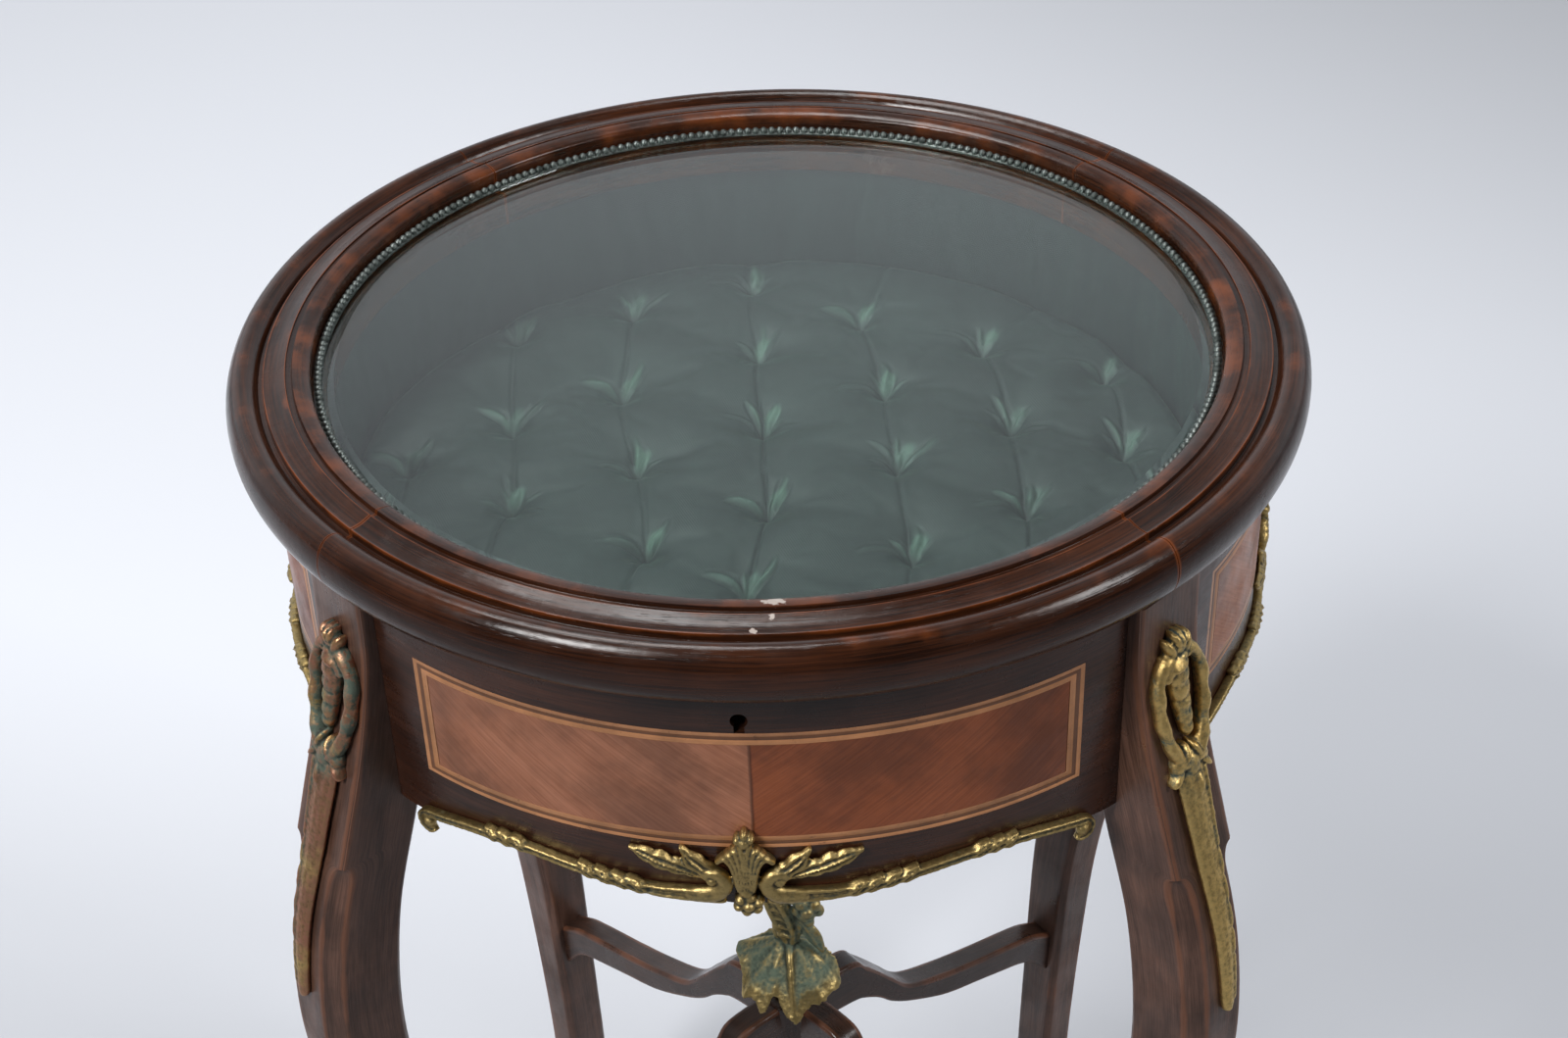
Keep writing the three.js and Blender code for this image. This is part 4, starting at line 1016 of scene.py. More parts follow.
# Place and size, in metres, of each spot at the front of the rim where the wood has chipped to its ground
CHIPS = (
    (0.0145, -0.2137, 0.758, 0.0036), (0.0172, -0.2137, 0.758, 0.0028), (0.0108, -0.2139, 0.758, 0.0024),
    (0.0140, -0.2215, 0.758, 0.0017), (0.007, -0.2293, 0.757, 0.0015),
)
RIM_WOOD = PolishedWood(
    "rim_wood", dark=(0.0085, 0.003, 0.0017), light=(0.056, 0.0165, 0.0058),
    rubbed_and_reflection=(0.17, 0.042, 0.009), gloss=0.18, sheen=0.34, chips=CHIPS,
)
LEG_WOOD = PolishedWood(
    "leg_wood", dark=(0.046, 0.021, 0.013), light=(0.150, 0.074, 0.050),
    rubbed_and_reflection=(0.20, 0.075, 0.035), gloss=0.34, wear_and_highlight=0.55, figure=0.5, scale=1.7, cloud=0.35, dust=0.10,
)
STRETCHER_WOOD = PolishedWood(
    "stretcher_wood", dark=(0.016, 0.0075, 0.005), light=(0.062, 0.027, 0.016),
    rubbed_and_reflection=(0.16, 0.062, 0.032), gloss=0.26, wear_and_highlight=0.7, dust=0.10,
)
BAND_WOOD = PolishedWood(
    "band_wood", dark=(0.016, 0.0055, 0.003), light=(0.068, 0.022, 0.010), gloss=0.26,
)
# The two halves of the book-matched veneer are one wood: the left's paler, greyer colours are a painted sheen
# and the right's darker ones are painted shade
VENEER_PAINTED_SHEEN = PolishedWood(
    "left_veneer_painted_sheen", dark=(0.27, 0.098, 0.048), light=(0.42, 0.175, 0.098), cloud=0.4,
    rubbed_and_reflection=(0.25, 0.10, 0.05), slant=38, gloss=0.38, wear_and_highlight=0.3, seam_at=0.00366,
)
VENEER_PAINTED_SHADE = replace(
    VENEER_PAINTED_SHEEN, name="right_veneer_painted_shade", dark=(0.18, 0.043, 0.012), light=(0.30, 0.082, 0.026), slant=-38, gloss=0.34,
)
BOARD = PolishedWood(
    "board", Space.SOLID, dark=(0.06, 0.035, 0.02), light=(0.16, 0.10, 0.06), gloss=0.6, sheen=0.2,
    wear_and_highlight=0.1, dust=0.3,
)
PALE_LINE = Inlay("pale_line")
DARK_LINE = Inlay("dark_line", colour=(0.17, 0.072, 0.034), soot=(0.03, 0.014, 0.008))
MOUNT_BRASS = CastBrass("mount_brass", metal=(0.50, 0.365, 0.15), green=0.48, shine=0.44)
CORNER_BRASS = CastBrass("corner_brass", metal=(0.76, 0.53, 0.20), shine=0.42)
LEAF_BRASS = CastBrass(
    "leaf_brass", green=0.72, metal=(0.50, 0.37, 0.15), verdigris=(0.16, 0.215, 0.155),
    soot=(0.05, 0.055, 0.038), shine=0.4,
)
BEAD_METAL = PlainMetal(
    "bead_metal", metal=(0.17, 0.19, 0.18), soot=(0.02, 0.025, 0.022), tarnished=0.75, shine=0.42,
)
PLATE_BRASS = PlainMetal("plate_brass", metal=(0.50, 0.37, 0.16), soot=(0.05, 0.035, 0.015), tarnished=0.3)
DARK_STEEL = PlainMetal("dark_steel", metal=(0.30, 0.30, 0.31), soot=(0.03, 0.02, 0.015), tarnished=0.4)
GLASS = OldGlass("old_glass")
CUSHION_SILK = Silk("cushion_silk")
LINING_SILK = Silk("lining_silk", Space.GRAIN)
FLOOR = Backdrop("pale_floor")


def dress(piece: Piece, body: str, finishes: Sequence[Finish], node: str) -> None:
    """Gives a piece its finishes and its body, and hides the CAD node that it stands for.

    Args:
        piece: The piece, in place.
        body: The body that it moves with.
        finishes: Its materials in order.
        node: The node that it replaces.
    """
    for finish in finishes:
        piece.data.materials.append(finish.make())
    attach(piece, body)
    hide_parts(node)
    log.info("%s: %d faces, rides on %s", piece.name, len(piece.data.polygons), body)


def refinish(nodes: Sequence[str], finish: Finish) -> None:
    """Gives CAD nodes that stay their real finish."""
    for name in nodes:
        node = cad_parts[name]
        if not node.material_slots:
            node.data.materials.append(finish.make())
        for slot in node.material_slots:
            slot.material = finish.make()
        log.info("%s: kept, finished as %s", name, finish.name)


# Sub-assemblies


@dataclass
class Lid:
    """The moulded rim in four lengths, its bevelled glass and the row of beads that holds it."""

    top: float = 760
    bottom: float = 727
    sight: float = 210
    ovolo: float = 7.4
    channel: float = 3.4
    cove: float = 10.6
    groove: float = 3.3
    nose_half: float = 8.6
    nose_height: float = 27
    seat: float = 234.2
    ledge: float = 7
    glass_seat: float = 744.7
    glass_thickness: float = 5
    bevel_width: float = 8.6
    bevel_drop: float = 1.8
    bead_size: float = 4.0
    bead_pitch: float = 4.3
    bead_radius: float = 206.9
    joint: float = 0.05
    steps: int = 96
    hinge_recess: float = 728.7

    def profile(self) -> Array:
        """The rim's section, as rows of radius, height and wear.

        Returns:
            The rows.
        """
        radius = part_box("lid_frame_right")[1].x / MM
        centre = np.array([radius - self.nose_half, self.top - 1 - self.nose_height / 2])
        outer = self.sight + self.ovolo
        cove_in, cove_out = outer + self.channel, outer + self.channel + self.cove
        inner = cove_out + self.groove
        start = 180 - math.degrees(math.acos((centre[0] - inner) / self.nose_half))
        high = self.top - 0.8
        low = self.sight - self.ledge
        rows = [[low, self.bottom, 0.8, 0.2], [self.seat, self.bottom, 0.8, 0.2]]
        rows.append([self.seat, self.bottom + 4, 0.3, 0])
        for turn in np.radians(np.linspace(-90, start, 34)):
            rise = math.sin(turn)
            place = [centre[0] + self.nose_half * math.cos(turn), centre[1] + self.nose_height / 2 * rise]
            rows.append([*place, 0, 0.16 + 0.3 * max(rise, 0) ** 4])
        rows += [
            [inner - 0.9, high - 5.6, 0.4, 0], [cove_out + 0.1, high - 5.7, 0.4, 0],
            [cove_out, high - 2.0, 0.5, 0.85], [cove_out - 1.2, high - 2.3, 0.4, 0.3],
            [(cove_in + cove_out) / 2, high - 2.0, 3, 0.05], [cove_in + 1.0, high - 0.4, 0.8, 0.4],
            [cove_in, high, 0.4, 0.8], [cove_in, high - 1.1, 0.3, 0],
            [outer + 0.9, high - 1.2, 0.3, 0], [outer + 0.7, high - 0.2, 0.3, 0.3],
        ]
        for turn in np.radians(np.linspace(88, 180, 12)):
            rows.append([outer + self.ovolo * math.cos(turn), self.top - 3 + 3 * math.sin(turn), 0, 0.56])
        rows += [[self.sight, self.glass_seat, 0.2, 0.1], [low, self.glass_seat, 0.6, 0.1]]
        return eased_corners(rows)

    def rim(self) -> None:
        """Builds the four lengths of moulding with the recesses for hinges and lock."""
        section = self.profile()
        half = 45 - self.joint
        near = [0, 0.12, 0.26, 0.4]
        run = np.linspace(1 - half, half - 1, self.steps)
        across = np.concatenate([np.add(-half, near), run, np.subtract(half, near[::-1])])
        wear_and_highlight = np.tile(section[:, 2], (len(across), 1))
        for k in (0, 1, 2):
            wear_and_highlight[[k, -1 - k]] = np.maximum(wear_and_highlight[[k, -1 - k]], 0.95 - 0.25 * k)
        for side in Side:
            piece = lofted(f"rim_{side.label}", spun(section, side.angle + across), wear_and_highlight=wear_and_highlight)
            if side is Side.BACK:
                cut_by(piece, hinge_recesses(720, self.hinge_recess))
            if side is Side.FRONT:
                cut_by(piece, [block(*STRIKE_RECESS), block(*BOLT_RECESS)])
            dress(creased(piece), "lid", [RIM_WOOD], f"lid_frame_{side.label}")

    def glazing(self) -> None:
        """Builds the bevelled pane and its beads."""
        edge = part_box("lid_glass")[1].x / MM - 0.1
        low, high = self.glass_seat + 0.3, self.glass_seat + self.glass_thickness
        half = np.array([
            [0.01, low], [edge, low], [edge, high - self.bevel_drop],
            [edge - self.bevel_width, high], [0.01, high],
        ])
        pane = creased(lofted("pane", spun(half, circle(240)), looped=True), 5)
        dress(pane, "lid", [GLASS], "lid_glass")
        count = round(2 * math.pi * self.bead_radius / self.bead_pitch)
        work = bmesh.new()
        bmesh.ops.create_icosphere(work, subdivisions=2, radius=self.bead_size / 2)
        ball = np.array([v.co for v in work.verts])
        sides = np.array([[v.index for v in f.verts] for f in work.faces])
        work.free()
        middles = polar(self.bead_radius, np.arange(count) * 360 / count, high + 0.2 + self.bead_size / 2)
        points = (middles[:, None] + ball).reshape(-1, 3)
        faces = (sides[None] + (np.arange(count) * len(ball))[:, None, None]).reshape(-1, 3)
        beads = piece_of("beads", points, faces.tolist())
        under = np.array([[-1.5, 0.1], [1.9, 0.1], [1.9, 2.4], [0.6, 1.6], [-1.3, 1.0]])
        wire = lofted("strip", spun(under + [self.bead_radius, high], circle(240)), looped=True)
        moulding = joined("bead_moulding", [beads, wire])
        dress(moulding, "lid", [BEAD_METAL], "pearl_moulding")

    def build(self) -> None:
        """Builds the whole lid."""
        self.rim()
        self.glazing()
        refinish(["hinge_left_lid_leaf", "hinge_right_lid_leaf", "lock_strike"], PLATE_BRASS)


@dataclass
class Case:
    """The four veneered panels with their inlaid borders, and the silk that lines them."""

    top: float = 726.4
    height: float = 108.4
    radius: float = 233
    thickness: float = 18
    stile: float = 40
    arch: float = 8
    arch_dip: float = 1
    arch_skew: float = 1.4
    ledge_height: float = 11
    ledge_width: float = 7
    pendant_width: float = 34
    pendant_drop: float = 4.5
    string: float = 6.2
    string_depth: float = 0.8
    string_top: float = 18.4
    string_bottom: float = 28.2
    string_side: float = 18
    string_section: tuple = (
        (0.08, -0.78), (0.08, 0), (1.7, 0.03), (1.85, -0.07), (2, 0), (3.5, 0), (3.65, -0.07),
        (3.8, 0.03), (6.12, 0), (6.12, -0.78),
    )
    string_colours: tuple = (0, 0, 0, 1, 1, 1, 0, 0, 0, 0)
    seam: float = 0.9
    hinge_recess: float = 724.7
    lining_radius: float = 210.6
    lining_low: float = 635.7
    lining_high: float = 723.6

    @property
    def bottom(self) -> float:
        """Height of the panels' lower edge."""
        return self.top - self.height

    def half_angle(self, side: Side) -> float:
        """Half the angle that a panel fills at its face."""
        return side.clear - math.degrees(math.asin(self.stile / 2 / self.radius))

    def edge_rise(self, share: Number) -> Array:
        """Rise of the lower edge, at a share of the way from the panel's middle to its end."""
        bend = np.sin(math.pi * np.minimum(share, 1.0) ** self.arch_skew) ** 2
        return (self.arch + self.arch_dip) * bend - self.arch_dip

    def border_half(self, side: Side) -> float:
        """Half the width of the inlaid border, seen square on."""
        return self.radius * math.sin(math.radians(self.half_angle(side))) - self.string_side

    def low_edge(self, side: Side, angle: Array) -> Array:
        """Height of a panel's lower edge, pendant included.

        Args:
            side: The panel's side.
            angle: Degrees from its middle.

        Returns:
            The heights.
        """
        rise = self.bottom + self.edge_rise(np.abs(angle) / self.half_angle(side))
        along = np.abs(self.radius * np.sin(np.radians(angle))) / (self.pendant_width / 2)
        drop = self.bottom - self.pendant_drop * np.sqrt(np.clip(1 - along**2, 0, 1))
        return np.where(along < 1, np.minimum(rise, drop), rise)

    def border_span(self, side: Side) -> tuple[float, float, float, float]:
        """The border's outer and inner half angle, and the heights of its lower and upper edge.

        Args:
            side: The panel's side.

        Returns:
            The angles in degrees, and the heights.
        """
        half = self.border_half(side)
        outer, inner = (math.degrees(math.asin(width / self.radius)) for width in (half, half - self.string))
        return outer, inner, self.bottom + self.string_bottom, self.top - self.string_top

    def panel_section(self, side: Side, angle: float) -> Array:
        """One upright section of a panel, with the groove for the border.

        Args:
            side: The panel's side.
            angle: Degrees from the panel's middle.

        Returns:
            The section's points, drawn in at the legs.
        """
        outer, inner, low, high = self.border_span(side)
        tiny = 0.05
        foot = float(self.low_edge(side, np.array(angle)))
        edges = [high, high - self.string, low + self.string, low]
        face = [self.top, self.top - 6, *(edge + way * tiny for edge in edges for way in (1, -1))]
        z = np.concatenate([face, np.linspace(low - 4, foot + 0.6, 4), [foot + 0.2]])
        r = np.full(len(z), float(self.radius))
        inside = (abs(angle) < inner) & (z < high - self.string) & (z > low + self.string)
        sunk = (abs(angle) < outer) & (z < high) & (z > low) & ~inside
        r[sunk] -= self.string_depth + 0.15
        r[-1] -= 0.5
        inward, shelf = self.radius - self.thickness, self.bottom + self.ledge_height
        edge = inward - self.ledge_width
        back = [(self.radius - 1, foot), (edge, foot), (edge, shelf), (inward, shelf),
                (inward, self.top - 0.5), (inward + 0.5, self.top)]
        row_r = np.concatenate([[self.radius - 0.6], r, [b[0] for b in back]])
        row_z = np.concatenate([[self.top], z, [b[1] for b in back]])
        row_z[1] -= 0.6
        limit = side.clear - np.degrees(np.arcsin((self.stile / 2 + 0.3) / row_r))
        return polar(row_r, side.angle + angle * limit / self.half_angle(side), row_z)

    def panel(self, side: Side) -> None:
        """Builds a panel whose face is dark banding round light veneer.

        Args:
            side: The panel's side.
        """
        outer, inner, low, high = self.border_span(side)
        tiny = 0.012
        end = self.half_angle(side)
        stops = [outer + tiny, outer - tiny, inner + tiny, inner - tiny, end]
        half = [*np.linspace(0, inner - 0.2, 40), *np.linspace(outer + 0.2, end, 6), *stops]
        angles = sorted({*half, *(-a for a in half), self.seam})
        piece = lofted(f"panel_{side.label}", np.array([self.panel_section(side, a) for a in angles]))
        if side is Side.FRONT:
            cut_by(piece, [block(*LOCK_RECESS), self.key_tool()])
        if side is Side.BACK:
            cut_by(piece, hinge_recesses(self.hinge_recess, 740))
        centre = np.array([p.center for p in piece.data.polygons]) / MM
        local = turned_about(centre, -side.angle)
        turn = np.degrees(np.arctan2(local[:, 0], -local[:, 1]))
        light = (np.abs(turn) < inner) & (np.hypot(local[:, 0], local[:, 1]) > self.radius - 0.5)
        light &= (centre[:, 2] < high - self.string) & (centre[:, 2] > low + self.string)
        # Left of the seam the veneer takes its painted sheen, and right of it its painted shade
        index = np.where(light, np.where(turn < self.seam, 1, 2), 0)
        self.lay_grain(piece, side)
        woods = [BAND_WOOD, VENEER_PAINTED_SHEEN, VENEER_PAINTED_SHADE]
        dress(creased(piece, 28), "table", woods, f"apron_{side.label}")
        piece.data.polygons.foreach_set("material_index", index.astype(np.int32))

    def lay_grain(self, piece: Piece, side: Side) -> None:
        """Lays a panel's grain along its face, in metres.

        Args:
            piece: The panel.
            side: Its side.
        """
        layer = piece.data.uv_layers["grain"]
        loops = np.zeros(len(piece.data.loops), np.int32)
        piece.data.loops.foreach_get("vertex_index", loops)
        local = turned_about(places(piece), -side.angle)
        along = np.arctan2(local[:, 0], -local[:, 1]) * self.radius
        radial = np.hypot(local[:, 0], local[:, 1]) - self.radius
        uv = np.stack([along, local[:, 2] - self.bottom + radial + side.angle * 10], -1) * MM
        layer.data.foreach_set("uv", uv[loops].astype(np.float32).ravel())

    def key_tool(self) -> Piece:
        """The keyhole's round eye and slot, as a tool.

        Returns:
            The tool.
        """
        z = self.top - 12
        arc = np.radians(np.linspace(-52, 232, 22))
        outline = [[3.6 * math.cos(t), z + 3.6 * math.sin(t)] for t in arc]
        outline += [[-2.2, z - 6.2], [2.2, z - 6.2]]
        rings = np.array([[[x, y, h] for x, h in outline] for y in (-245.0, -205.0)])
        return lofted("tool", rings)

    def border(self, side: Side) -> None:
        """Builds the inlaid border of a pale, a dark and a pale line, mitred at its corners.

        Args:
            side: The panel's side.
        """
        *_, low, high = self.border_span(side)
        outer = self.border_half(side)
        rows = []
        for inset, radial in self.string_section:
            half = self.radius * math.asin((outer - inset) / self.radius)
            z0, z1 = low + inset, high - inset
            corners = np.array([[-half, z1], [half, z1], [half, z0], [-half, z0], [-half, z1]])
            sides = zip(corners[:-1], corners[1:], (72, 14, 72, 14))
            walk = np.concatenate([np.linspace(start, end, count)[:-1] for start, end, count in sides])
            angle = side.angle + np.degrees(walk[:, 0] / self.radius)
            rows.append(polar(self.radius + radial, angle, walk[:, 1]))
        rings = np.array(rows).transpose(1, 0, 2)
        piece = lofted(f"border_{side.label}", rings, looped=True)
        dress(creased(piece, 50), "table", [PALE_LINE, DARK_LINE], f"string_border_{side.label}")
        colours = np.tile(self.string_colours, len(rings))
        piece.data.polygons.foreach_set("material_index", colours.astype(np.int32))

    def lining(self) -> None:
        """Builds the gathered silk round the inside, as one sheet joined in a ring."""
        turns = np.linspace(0, 2 * math.pi, 721)[:-1]
        heights = np.linspace(self.lining_low, self.lining_high, 26)
        tall = self.lining_high - self.lining_low
        folds = np.zeros(len(turns))
        rng = np.random.default_rng(7)
        for count, size in ((23, 0.30), (41, 0.34), (67, 0.28), (96, 0.16)):
            folds += size * np.sin(count * turns + rng.uniform(0, 6.28))
        rings = []
        for z in heights:
            share = (z - self.lining_low) / tall
            drift = 0.02 * np.sin(7 * turns + 5 * share)
            depth = 0.5 + 0.5 * math.sin(math.pi * min(1, share * 1.1)) ** 0.7
            radius = self.lining_radius + np.interp(turns + drift, turns, folds, period=2 * math.pi) * depth
            rings.append(polar(radius, np.degrees(turns), z))
        rings = np.array(rings)
        # Painted highlights on the crests of the folds, stronger towards the top, and on the gathers along
        # the upper edge
        glow = np.clip(0.06 * (folds + 0.1), 0, 0.1) * np.linspace(0.4, 1, len(heights))[:, None]
        glow[-2:] = np.maximum(glow[-2:], 0.16 * (np.sin(180 * turns) > 0.3))
        piece = lofted("side_silk", rings, capped=False, wear_and_highlight=glow)
        dress(piece, "table", [LINING_SILK], "side_lining")

    def build(self) -> None:
        """Builds the whole case."""
        for side in Side:
            self.panel(side)
            self.border(side)
        self.lining()
        refinish(["case_floor"], BOARD)
        hinges = [f"hinge_{way}_{part}" for part in ("case_leaf", "pin") for way in ("left", "right")]
        refinish(["lock_case", *hinges], PLATE_BRASS)
        refinish(["lock_bolt"], DARK_STEEL)


@dataclass
class Cushion:
    """The deep-buttoned silk pad on the case floor."""

    bottom: float = 635.7
    crown: float = 676.4
    radius: float = 206.0
    edge_round: float = 9
    pit: float = 14.5
    rings: int = 200
    spokes: int = 780
    columns: tuple = (
        ((-180, 7), (-178, -62), (-163, -120)),
        ((-142, 127), (-133, 42), (-124, -25), (-128, -95), (-118, -160)),
        ((-83, 154), (-81, 72), (-67, 7), (-56, -61), (-62, -128)),
        ((-20, 181), (-13, 112), (-7, 43), (-1, -28), (-7, -92), (-4, -158)),
        ((39, 145), (53, 78), (60, 11), (68, -62), (60, -128)),
        ((103, 118), (116, 46), (122, -25), (120, -95), (108, -160)),
        ((166, 92), (171, 24), (176, -48), (165, -112)),
    )
    pleats: tuple = (
        (1.05, 0.34, 13, 1, 0.1), (2.2, 0.22, 16, 0.7, 0.3), (1.62, 0.16, 16, 0.6, 0),
        (2.7, 0.1, 20, 0.4, 0.3), (0.5, 0.14, 19, 0.6, 0.25), (-0.7, 0.16, 15, 0.05, 0),
        (-1.6, 0.2, 13, 0.04, 0), (-2.4, 0.16, 15, 0.05, 0),
    )
    blown_share: float = 0.3
    blown_step: int = 100
    blown_frames: int = 20
    blown_pressure: float = 4.0
    spare_silk: float = 0.05

    @property
    def buttons(self) -> Array:
        """Where the buttons are, one row each."""
        return np.array([place for column in self.columns for place in column], float)

    def creases(self, x: Array, y: Array) -> Array:
        """Depth of the seams that run from button to button and out to the edge.

        Args:
            x: Places across.
            y: Places from front to back.

        Returns:
            The depths.
        """
        drop = np.zeros_like(x)
        for column in self.columns:
            knots = np.array(column, float)
            first = knots[0] * (self.radius + 4) / np.linalg.norm(knots[0])
            last = knots[-1] * (self.radius + 4) / np.linalg.norm(knots[-1])
            knots = np.vstack([first, knots, last])
            far = np.full_like(x, 1e9)
            for k, ((x0, y0), (x1, y1)) in enumerate(zip(knots[:-1], knots[1:])):
                dx, dy = x1 - x0, y1 - y0
                t = np.clip(((x - x0) * dx + (y - y0) * dy) / (dx * dx + dy * dy), 0, 1)
                bow = 2.2 * np.sin(math.pi * t) * math.sin(x0 * 0.7 + y0 + k)
                far = np.minimum(far, np.hypot(x - x0 - t * dx - bow, y - y0 - t * dy))
            drop = np.maximum(drop, 0.5 * np.exp(-((far / 14) ** 2)) + 2.2 * np.exp(-far / 0.7))
        return drop

    def blown_sheet(self) -> Piece:
        """Blows a sheet of silk up from below, held down at its buttons and its edge.

        Returns:
            The sheet, with its cloth settled.
        """
        side = np.linspace(-1, 1, self.blown_step + 1)
        u, v = np.meshgrid(side, side, indexing="ij")
        gx, gy = u * np.sqrt(1 - v**2 / 2) * self.radius, v * np.sqrt(1 - u**2 / 2) * self.radius
        near = np.hypot(gx[..., None] - self.buttons[:, 0], gy[..., None] - self.buttons[:, 1]).min(-1)
        start = self.crown - 8 - (self.pit - 6) * np.exp(-((near / 11) ** 2))
        sheet = lofted("blown_silk", np.stack([gx, gy, start], -1), closed=False)
        if sheet.data.polygons[0].normal.z < 0:
            sheet.data.flip_normals()
        held = sheet.vertex_groups.new(name="held")
        rim = np.maximum(np.abs(u), np.abs(v)) > 0.999
        held.add(np.nonzero(((near < 3.2) | rim).ravel())[0].tolist(), 1.0, "REPLACE")
        cloth = sheet.modifiers.new("silk", "CLOTH")
        adjust(
            cloth.settings, quality=6, mass=0.15, tension_stiffness=12, compression_stiffness=12,
            bending_stiffness=0.25, use_pressure=True, uniform_pressure_force=self.blown_pressure,
            shrink_min=-self.spare_silk, vertex_group_mass="held",
        )
        cloth.settings.effector_weights.gravity = 0
        cloth.collision_settings.use_collision = False
        for frame_number in range(1, self.blown_frames + 1):
            bpy.context.scene.frame_set(frame_number)
        settled(sheet)
        bpy.context.scene.frame_set(1)
        shaped(sheet, "SUBSURF", levels=2)
        return settled(sheet)

    def blown(self, x: Array, y: Array) -> Array:
        """Heights of the silk when it is blown up from below.

        Args:
            x: Places across.
            y: Places from front to back.

        Returns:
            The heights, with the highest at the crown.
        """
        sheet = self.blown_sheet()
        corners = [vertex.co for vertex in sheet.data.vertices]
        tree = BVHTree.FromPolygons(corners, [face.vertices for face in sheet.data.polygons])
        down = Vector((0, 0, -1))
        found = np.full(x.size, self.crown - self.pit - 4)
        for k, (a, b) in enumerate(zip(x.ravel() * MM, y.ravel() * MM)):
            hit = tree.ray_cast(Vector((a, b, 1)), down)[0]
            if hit:
                found[k] = hit.z / MM
        discard(sheet)
        low, high = np.percentile(found, 2), np.percentile(found, 99.5)
        log.info("blown silk stands between %.1f and %.1f mm", low, high)
        found = self.crown - (high - found) * min(1.0, self.pit / (high - low))
        return found.reshape(x.shape)

    def height(self, x: Array, y: Array) -> tuple[Array, Array]:
        """Height of the pad's surface, and the painted highlight where its pleats catch the light.

        Args:
            x: Places across.
            y: Places from front to back.

        Returns:
            The heights, and the painted highlight from 0 to 1.
        """
        drop = self.creases(x, y)
        pale = np.zeros_like(x)
        drop = drop + self.blown_share * (self.crown - self.blown(x, y))
        for bx, by in self.buttons:
            near = np.nonzero(np.hypot(x - bx, y - by) < 48)
            dx, dy = x[near] - bx, y[near] - by
            d = np.hypot(dx, dy)
            turn = np.arctan2(dy, dx)
            seed = bx * 0.37 + by * 0.71
            pit = self.pit * np.exp(-((d / (8.2 - 2.6 * np.sin(turn))) ** 1.1))
            lift, glow = np.zeros_like(d), np.zeros_like(d)
            for k, (way, wide, reach, size, bend) in enumerate(self.pleats):
                odd, even = math.sin(5.3 * seed + 2.1 * k), math.sin(7.9 * seed + 4 * k)
                length = reach * (1 + 0.38 * even)
                share = np.clip(d / length, 0, 1)
                lean = way + 0.32 * odd + (bend + 0.2 * even) * share
                span = wide * (1.05 - share) * (1 + 0.3 * odd) + 0.03
                gap = np.angle(np.exp(1j * (turn - lean)))
                body = np.exp(-((gap / span) ** 2))
                groove = np.exp(-(((np.abs(gap) - 1.9 * span) / (0.7 * span)) ** 2))
                fade = ease(d, 1, 5) * (1 - share**2)
                lift += (2.4 * body - 1.7 * groove) * fade * (0.4 + 0.6 * size) * (0.8 + 0.3 * odd)
                # The crests of the pleats get a painted highlight
                crisp = np.exp(-((gap / (1.1 * span)) ** 6)) * ease(d, 1, 4) * (1 - share**4)
                glow = np.maximum(glow, size * crisp * (0.55 + 0.45 * math.sin(9.1 * seed + 2.6 * k)))
            # A painted highlight on the slope behind each button, which faces the light
            aside, behind = dx - 3.2 - 1.8 * math.sin(3 * seed), dy - 5.5 - 0.5 * dx
            patch = np.exp(-((aside / 4.2) ** 2 + (behind / 4.4) ** 2) ** 3)
            glow = np.maximum(glow, (0.72 + 0.28 * math.sin(4.3 * seed)) * patch)
            drop[near] = np.maximum(drop[near], pit) + 0.35 * np.minimum(drop[near], pit) - lift
            pale[near] = np.maximum(pale[near], np.clip(glow, 0, 1))
        return self.crown - drop, pale

    def build(self) -> None:
        """Builds the pad as one closed form."""
        radii = self.radius * np.linspace(0.002, 1, self.rings) ** 0.9
        grid = polar(radii[:, None], circle(self.spokes)[None, :], 0.0)
        x, y = grid[..., 0], grid[..., 1]
        z, pale = self.height(x, y)
        fold = self.crown - z
        spots = (Vector((a * 0.03, b * 0.03, 3.1)) for a, b in zip(x.ravel(), y.ravel()))
        z = z + np.array([noise.noise(spot) for spot in spots]).reshape(x.shape) * 1.6 - 1.0
        inward = self.radius - radii[:, None]
        inset = np.minimum(inward, self.edge_round) / self.edge_round
        z = z - self.edge_round * (1 - np.sqrt(np.clip(1 - (1 - inset) ** 2, 0, 1)))
        z = np.minimum(z - 5 * ease(-y, -60, 120) * np.exp(-inward / 40), self.crown)
        squeeze = 1 - 0.012 * np.clip(fold / 12, 0, 1) * np.exp(-inward / 14)
        top = np.stack([x * squeeze, y * squeeze, z], -1)
        edge = top[-1]
        skirt = []
        for share in np.linspace(0, 1, 9)[1:]:
            tuck = 1 - 0.016 * math.sin(math.pi * share) - 0.012 * share
            low = edge[:, 2] + (self.bottom - edge[:, 2]) * share
            skirt.append(np.stack([edge[:, 0] * tuck, edge[:, 1] * tuck, low], -1))
        last, flat = skirt[-1], np.full(self.spokes, self.bottom)
        under = [np.stack([last[:, 0] * k, last[:, 1] * k, flat], -1) for k in (0.7, 0.3, 0.01)]
        rings = np.concatenate([top, skirt, under])
        # The top carries the pleats' painted highlights, and the sides and underside carry none
        wear_and_highlight = np.concatenate([pale, np.zeros((len(skirt) + len(under), self.spokes))])
        piece = lofted("buttoned_pad", rings, wear_and_highlight=wear_and_highlight)
        dress(piece, "table", [CUSHION_SILK], "buttoned_cushion")


